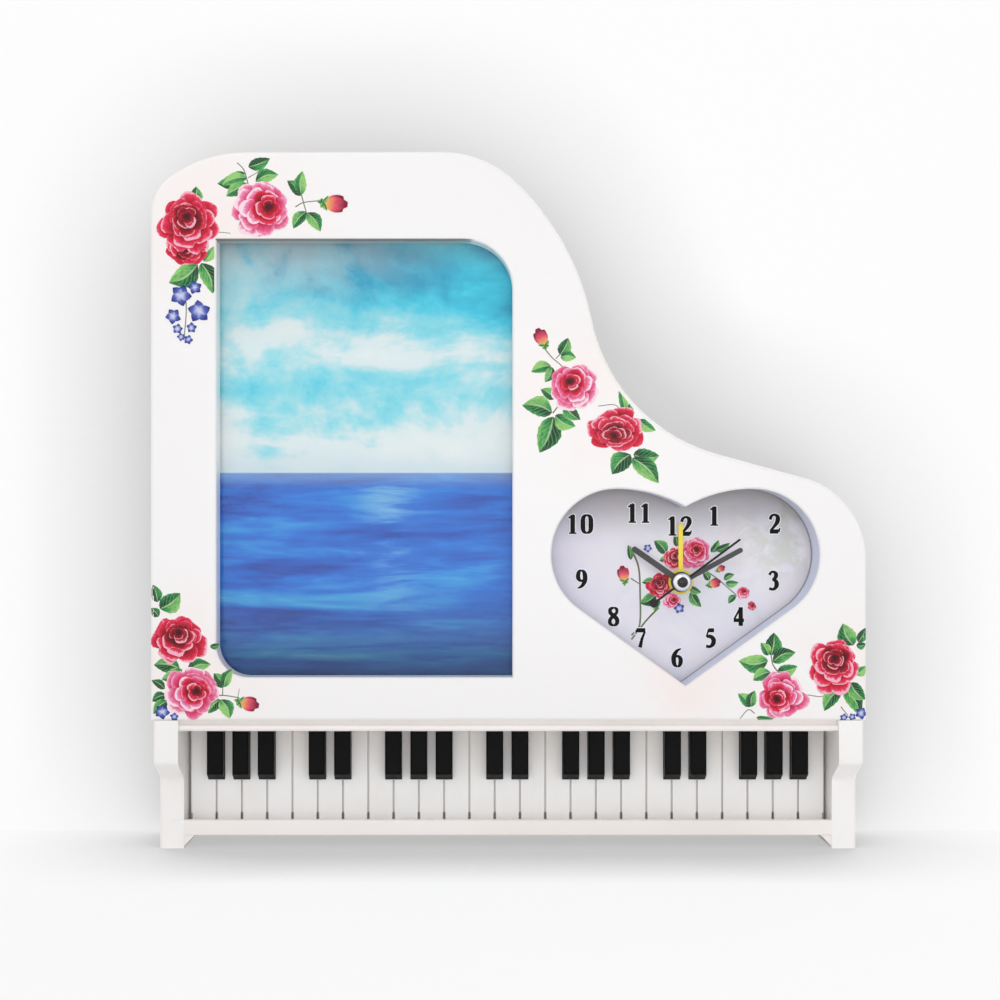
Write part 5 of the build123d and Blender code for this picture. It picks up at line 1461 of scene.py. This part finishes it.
class Hands(Dressed):
    """Hands and the cap on their axis."""

    WEAR = {
        Moulding("hand_grey", (90, 87, 89), (76, 73, 75), 0.45, shine=0.2): ("hour_hand", "minute_hand"),
        Moulding("hand_charcoal", (44, 43, 45), (34, 33, 35), 0.45, shine=0.2): ("second_hand",),
        Moulding("hand_yellow", (255, 234, 74), (250, 222, 54), 0.4): ("alarm_hand",),
        CapChrome("cap_chrome"): ("hub_cap",),
    }


class PhotoStack(Dressed):
    """Pane, print and board of the photograph."""

    WEAR = {
        Clear("clear_pane"): ("photo_pane",),
        SeaPrint("sea_print"): ("photo_print",),
        Moulding("backing_card", (176, 150, 118), (158, 132, 102), 0.8, 900.0, 0.02): ("backing_board",),
    }


class Keyboard(Dressed):
    """Keys, the rail and slip round them, the housing and the cheeks."""

    WEAR = {
        KeyWhite("key_white"): ("white_keys",),
        Moulding("key_black", (15, 15, 16), (10, 10, 11), 0.4, 900.0, 0.002, 0.0, 0.08): ("black_keys",),
        Moulding("case_cream", (253, 248, 245), (247, 241, 237), 0.32, 800.0, 0.004, 0.1): (
            "fallboard_rail", "key_slip", "keybed"),
        Moulding("cheek_white", (254, 252, 251), (250, 247, 245), 0.3, 800.0, 0.004, 0.1): (
            "left_cheek", "right_cheek"),
    }


@dataclass
class Rear(Dressed):
    """Rear cover and photo door, with their screws."""

    screws: tuple[Flat, ...] = (
        (-109.0, 54.8), (-109.0, 169.35), (-48.2, 221.75), (15.85, 186.49), (108.28, 110.07), (110.0, 54.8),
        (-66.0, 24.7), (66.0, 24.7))
    movement_screws: tuple[Flat, ...] = ((33.85, 116.4), (84.75, 116.4))
    cover_seat: float = 18.8
    movement_seat: float = 13.9
    head_radius: float = 2.3
    head_height: float = 1.2
    shank_radius: float = 1.1
    tip_radius: float = 0.7
    tip_length: float = 1.2
    recess_depth: float = 0.7
    recess_width: float = 0.5
    facets: int = 24

    STEEL = Metal("screw_steel", (196, 196, 200), (150, 150, 156), 0.3)
    WEAR = {
        Moulding("cover_satin", (246, 244, 243), (238, 235, 233), 0.5, 1100.0, 0.02): (
            "rear_cover", "photo_door"),
        STEEL: ("keybed_screws", "cheek_screws", "movement_screws", "bridge_screws"),
    }

    def build(self) -> None:
        """Dresses the rear and makes the screw heads that show."""
        super().build()
        self._heads("cover_screw_heads", self.screws, self.cover_seat, "cover_screws")
        self._heads("movement_screw_heads", self.movement_screws, self.movement_seat, "movement_cover_screws")

    def _heads(self, name: str, places: Sequence[Flat], seat: float, node: str) -> None:
        """Makes rounded screws with a cross recess in place of plain ones.

        Args:
            name: Name of the piece.
            places: Where the screws are, from the front.
            seat: Level of the heads' seats.
            node: The CAD node that they stand for.
        """
        low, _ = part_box(node)
        one = self._screw(seat - low[1] / MM)
        whole = bmesh.new()
        for x, z in places:
            place = Matrix.Translation((x * MM, seat * MM, z * MM))
            one.transform(place)
            whole.from_mesh(one)
            one.transform(place.inverted())
        bpy.data.meshes.remove(one)
        piece = add_piece(name, whole, self.STEEL, "case", True)
        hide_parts(node)

    def _screw(self, length: float) -> bpy.types.Mesh:
        """Makes one screw that looks to the back, with the seat of its head at the origin.

        Args:
            length: Length of its shank.

        Returns:
            The screw's mesh.
        """
        edge, height = self.head_radius, self.head_height
        profile = [(0, -length), (self.tip_radius, -length), (self.shank_radius, self.tip_length - length),
                   (self.shank_radius, 0), (edge, 0), (edge, 0.45 * height), (0.86 * edge, 0.8 * height),
                   (0.5 * edge, height), (0, height)]
        body = bmesh.new()
        verts = [body.verts.new((radius * MM, along * MM, 0.0)) for radius, along in profile]
        edges = [body.edges.new(pair) for pair in zip(verts, verts[1:])]
        bmesh.ops.spin(body, geom=[*verts, *edges], cent=(0, 0, 0), axis=(0, 1, 0), angle=math.tau,
                       steps=self.facets, use_merge=True)
        bmesh.ops.remove_doubles(body, verts=body.verts[:], dist=1e-6)
        bmesh.ops.recalc_face_normals(body, faces=body.faces[:])
        cross = bmesh.new()
        size = Matrix.Diagonal((1.15 * edge * MM, 2 * self.recess_depth * MM, self.recess_width * MM, 1.0))
        for turn in (0.0, math.pi / 2):
            place = Matrix.Translation((0, height * MM, 0)) @ Matrix.Rotation(turn, 4, "Y")
            bmesh.ops.create_cube(cross, size=1.0, matrix=place @ size)
        return carve(body, cross)


def carve(body: bmesh.types.BMesh, tool: bmesh.types.BMesh) -> bpy.types.Mesh:
    """Cuts one closed shape out of another.

    Args:
        body: The shape that is cut, which is used up.
        tool: The shape that cuts, which is used up.

    Returns:
        The mesh that is left.
    """
    pieces = [settle("carve_body", body), settle("carve_tool", tool)]
    cutter = pieces[0].modifiers.new("carve", "BOOLEAN")
    cutter.operation = "DIFFERENCE"
    cutter.solver = "EXACT"
    cutter.use_self = True
    cutter.object = pieces[1]
    bpy.context.view_layer.update()
    result = bpy.data.meshes.new_from_object(pieces[0].evaluated_get(bpy.context.evaluated_depsgraph_get()))
    for piece in pieces:
        data = piece.data
        bpy.data.objects.remove(piece)
        bpy.data.meshes.remove(data)
    return result


class Movement(Dressed):
    """Quartz movement behind the dial."""

    WEAR = {
        Moulding("movement_black", (40, 40, 43), (30, 30, 33), 0.5, 1300.0, 0.012): (
            "movement_base", "movement_cover", "middle_plate", "train_bridge"),
        Moulding("knob_black", (34, 34, 37), (24, 24, 27), 0.42, 1400.0, 0.008): ("time_knob", "alarm_knob"),
        Moulding("gear_white", (238, 236, 228), (226, 222, 210), 0.4, 1200.0, 0.004): (
            "alarm_wheel", "hour_wheel", "cannon_pinion", "centre_wheel", "third_wheel", "second_wheel",
            "intermediate_wheel", "minute_wheel", "alarm_pinion"),
        Metal("rotor_magnet", (96, 96, 104), (70, 70, 78), 0.45): ("rotor",),
        Metal("core_iron", (176, 176, 182), (140, 140, 148), 0.35, (1.0, 1.0, 0.1)): ("stator", "coil_core"),
        Metal("copper_wire", (196, 116, 66), (160, 84, 44), 0.3, (0.15, 1.0, 1.0)): ("coil_winding",),
        Moulding("bobbin_natural", (226, 214, 184), (212, 198, 166), 0.45): ("coil_bobbin",),
        Moulding("circuit_card", (146, 104, 56), (120, 82, 42), 0.55, 1500.0, 0.01): ("circuit_board",),
        Metal("crystal_can", (206, 204, 198), (176, 174, 170), 0.2): ("quartz_crystal",),
        Metal("sounder_brass", (206, 172, 92), (178, 140, 66), 0.28): ("buzzer",),
        Metal("contact_nickel", (204, 202, 194), (172, 170, 162), 0.25): (
            "positive_contact", "negative_contact"),
        Moulding("switch_red", (192, 34, 36), (164, 24, 28), 0.4): ("alarm_switch",),
        CellSleeve("cell_sleeve"): ("battery",),
    }


@dataclass
class Studio:
    """Camera, lamps, floor and backdrop."""

    eye: Point = (-0.011, -0.545, 0.111)
    lens: float = 56.5
    sensor: float = 36.0
    shift: Flat = (0.0244, 0.0232)
    nearest: float = 0.01
    world: float = 0.6
    lamps: tuple[tuple[str, Point, float, float], ...] = (
        ("key_lamp", (-0.35, -0.85, 0.85), 0.7, 2.2),
        ("fill_lamp", (0.75, -0.85, 0.35), 0.9, 1.2),
        ("low_lamp", (0.0, -0.9, 0.03), 0.5, 1.2),
        ("back_lamp", (0.3, 0.95, 0.8), 0.9, 3.0),
    )
    target: Point = (0.0, 0.0, 0.11)
    backdrop_at: float = 0.0225
    stage_half: float = 3.0
    paper: tuple[Colour, Colour] = ((251.6, 251.6, 251.6), (253.9, 253.9, 253.9))
    white: float = 0.8
    halo: float = 0.062
    dusk: float = 0.03
    deepest: float = 0.56
    samples: int = 16

    def build(self) -> None:
        """Sets up the whole studio."""
        self._camera()
        for lamp in self.lamps:
            self._lamp(*lamp)
        self._world()
        self._stage()
        bpy.context.scene.view_settings.view_transform = "Standard"

    def _camera(self) -> None:
        """Adds the camera that looks straight at the front."""
        data = bpy.data.cameras.new("camera")
        data.lens = self.lens
        data.sensor_width = self.sensor
        data.shift_x, data.shift_y = self.shift
        data.clip_start = self.nearest
        camera = link("camera", data)
        camera.location = self.eye
        camera.rotation_euler = (math.pi / 2, 0.0, 0.0)
        bpy.context.scene.camera = camera

    def _lamp(self, name: str, place: Point, size: float, power: float) -> None:
        """Adds one soft square lamp that looks at the object.

        Args:
            name: Name of the lamp.
            place: Where it is, in metres.
            size: Length of its side in metres.
            power: Power in watts.
        """
        data = bpy.data.lights.new(name, "AREA")
        data.size = size
        data.energy = power
        lamp = link(name, data)
        lamp.location = place
        aim = Vector(self.target) - Vector(place)
        lamp.rotation_euler = aim.to_track_quat("-Z", "Y").to_euler()

    @staticmethod
    def _seen(recipe: Recipe) -> Field:
        """Mask of what the camera sees directly, in gloss or through glass."""
        rays = (f"Is {kind} Ray" for kind in ("Camera", "Glossy", "Transmission"))
        return reduce(Field.most, [recipe.node("ShaderNodeLightPath", output=ray) for ray in rays])

    def _world(self) -> None:
        """Makes the world white to the eye and soft as a light."""
        world = bpy.data.worlds.new("studio_world")
        bpy.context.scene.world = world
        recipe = Recipe(world)
        strength = self.world + (1.0 - self.world) * self._seen(recipe)
        recipe.end(recipe.node("ShaderNodeBackground", None, {"Color": WHITE, "Strength": strength}))

    def _stage(self) -> None:
        """Adds the pale floor and the backdrop, which keep the object's soft shadow."""
        floor = self._plane("floor", Matrix.Identity(4), False)
        turn = Matrix.Translation((0.0, self.backdrop_at, 0.0)) @ Matrix.Rotation(math.pi / 2, 4, "X")
        backdrop = self._plane("backdrop", turn, True)
        backdrop.visible_diffuse = False
        backdrop.visible_glossy = False
        backdrop.visible_transmission = False
        for plane in (floor, backdrop):
            plane.visible_shadow = False

    def _plane(self, name: str, place: Matrix, one_sided: bool) -> bpy.types.Object:
        """Adds one plane of the stage.

        Args:
            name: Name of the plane.
            place: Where it is and how it is turned.
            one_sided: Whether it is clear from behind.

        Returns:
            The plane.
        """
        mesh = bmesh.new()
        bmesh.ops.create_grid(mesh, x_segments=1, y_segments=1, size=self.stage_half, matrix=place)
        plane = settle(name, mesh)
        recipe = Recipe(bpy.data.materials.new(f"{name}_white"))
        paper = recipe.mix(recipe.noise(4.0).step(0.3, 0.7), *self.paper)
        matt = recipe.node("ShaderNodeBsdfDiffuse", None, {"Color": paper})
        dark, light = (recipe.node("ShaderNodeEmission", None, {"Color": WHITE, "Strength": strength})
                       for strength in (self.dusk, 1.0))
        settings = {"samples": self.samples}
        free = recipe.node("ShaderNodeAmbientOcclusion", settings, {"Distance": self.halo}, "AO")
        plain = recipe.blend(free.most(self.deepest), dark, light)
        shader = recipe.blend(self._seen(recipe) * self.white, matt, plain)
        if one_sided:
            behind = recipe.node("ShaderNodeNewGeometry", output="Backfacing")
            shader = recipe.blend(behind, shader, recipe.node("ShaderNodeBsdfTransparent"))
        recipe.end(shader)
        plane.data.materials.append(recipe.owner)
        return plane


def main() -> None:
    """Builds the studio and the pieces in order."""
    logging.basicConfig(level=logging.INFO, format="%(message)s")
    for builder in (Studio(), Lid(), Dial(), Hands(), PhotoStack(), Keyboard(), Rear(), Movement()):
        LOG.info("building %s", type(builder).__name__)
        builder.build()


if __name__ == "__main__":
    main()
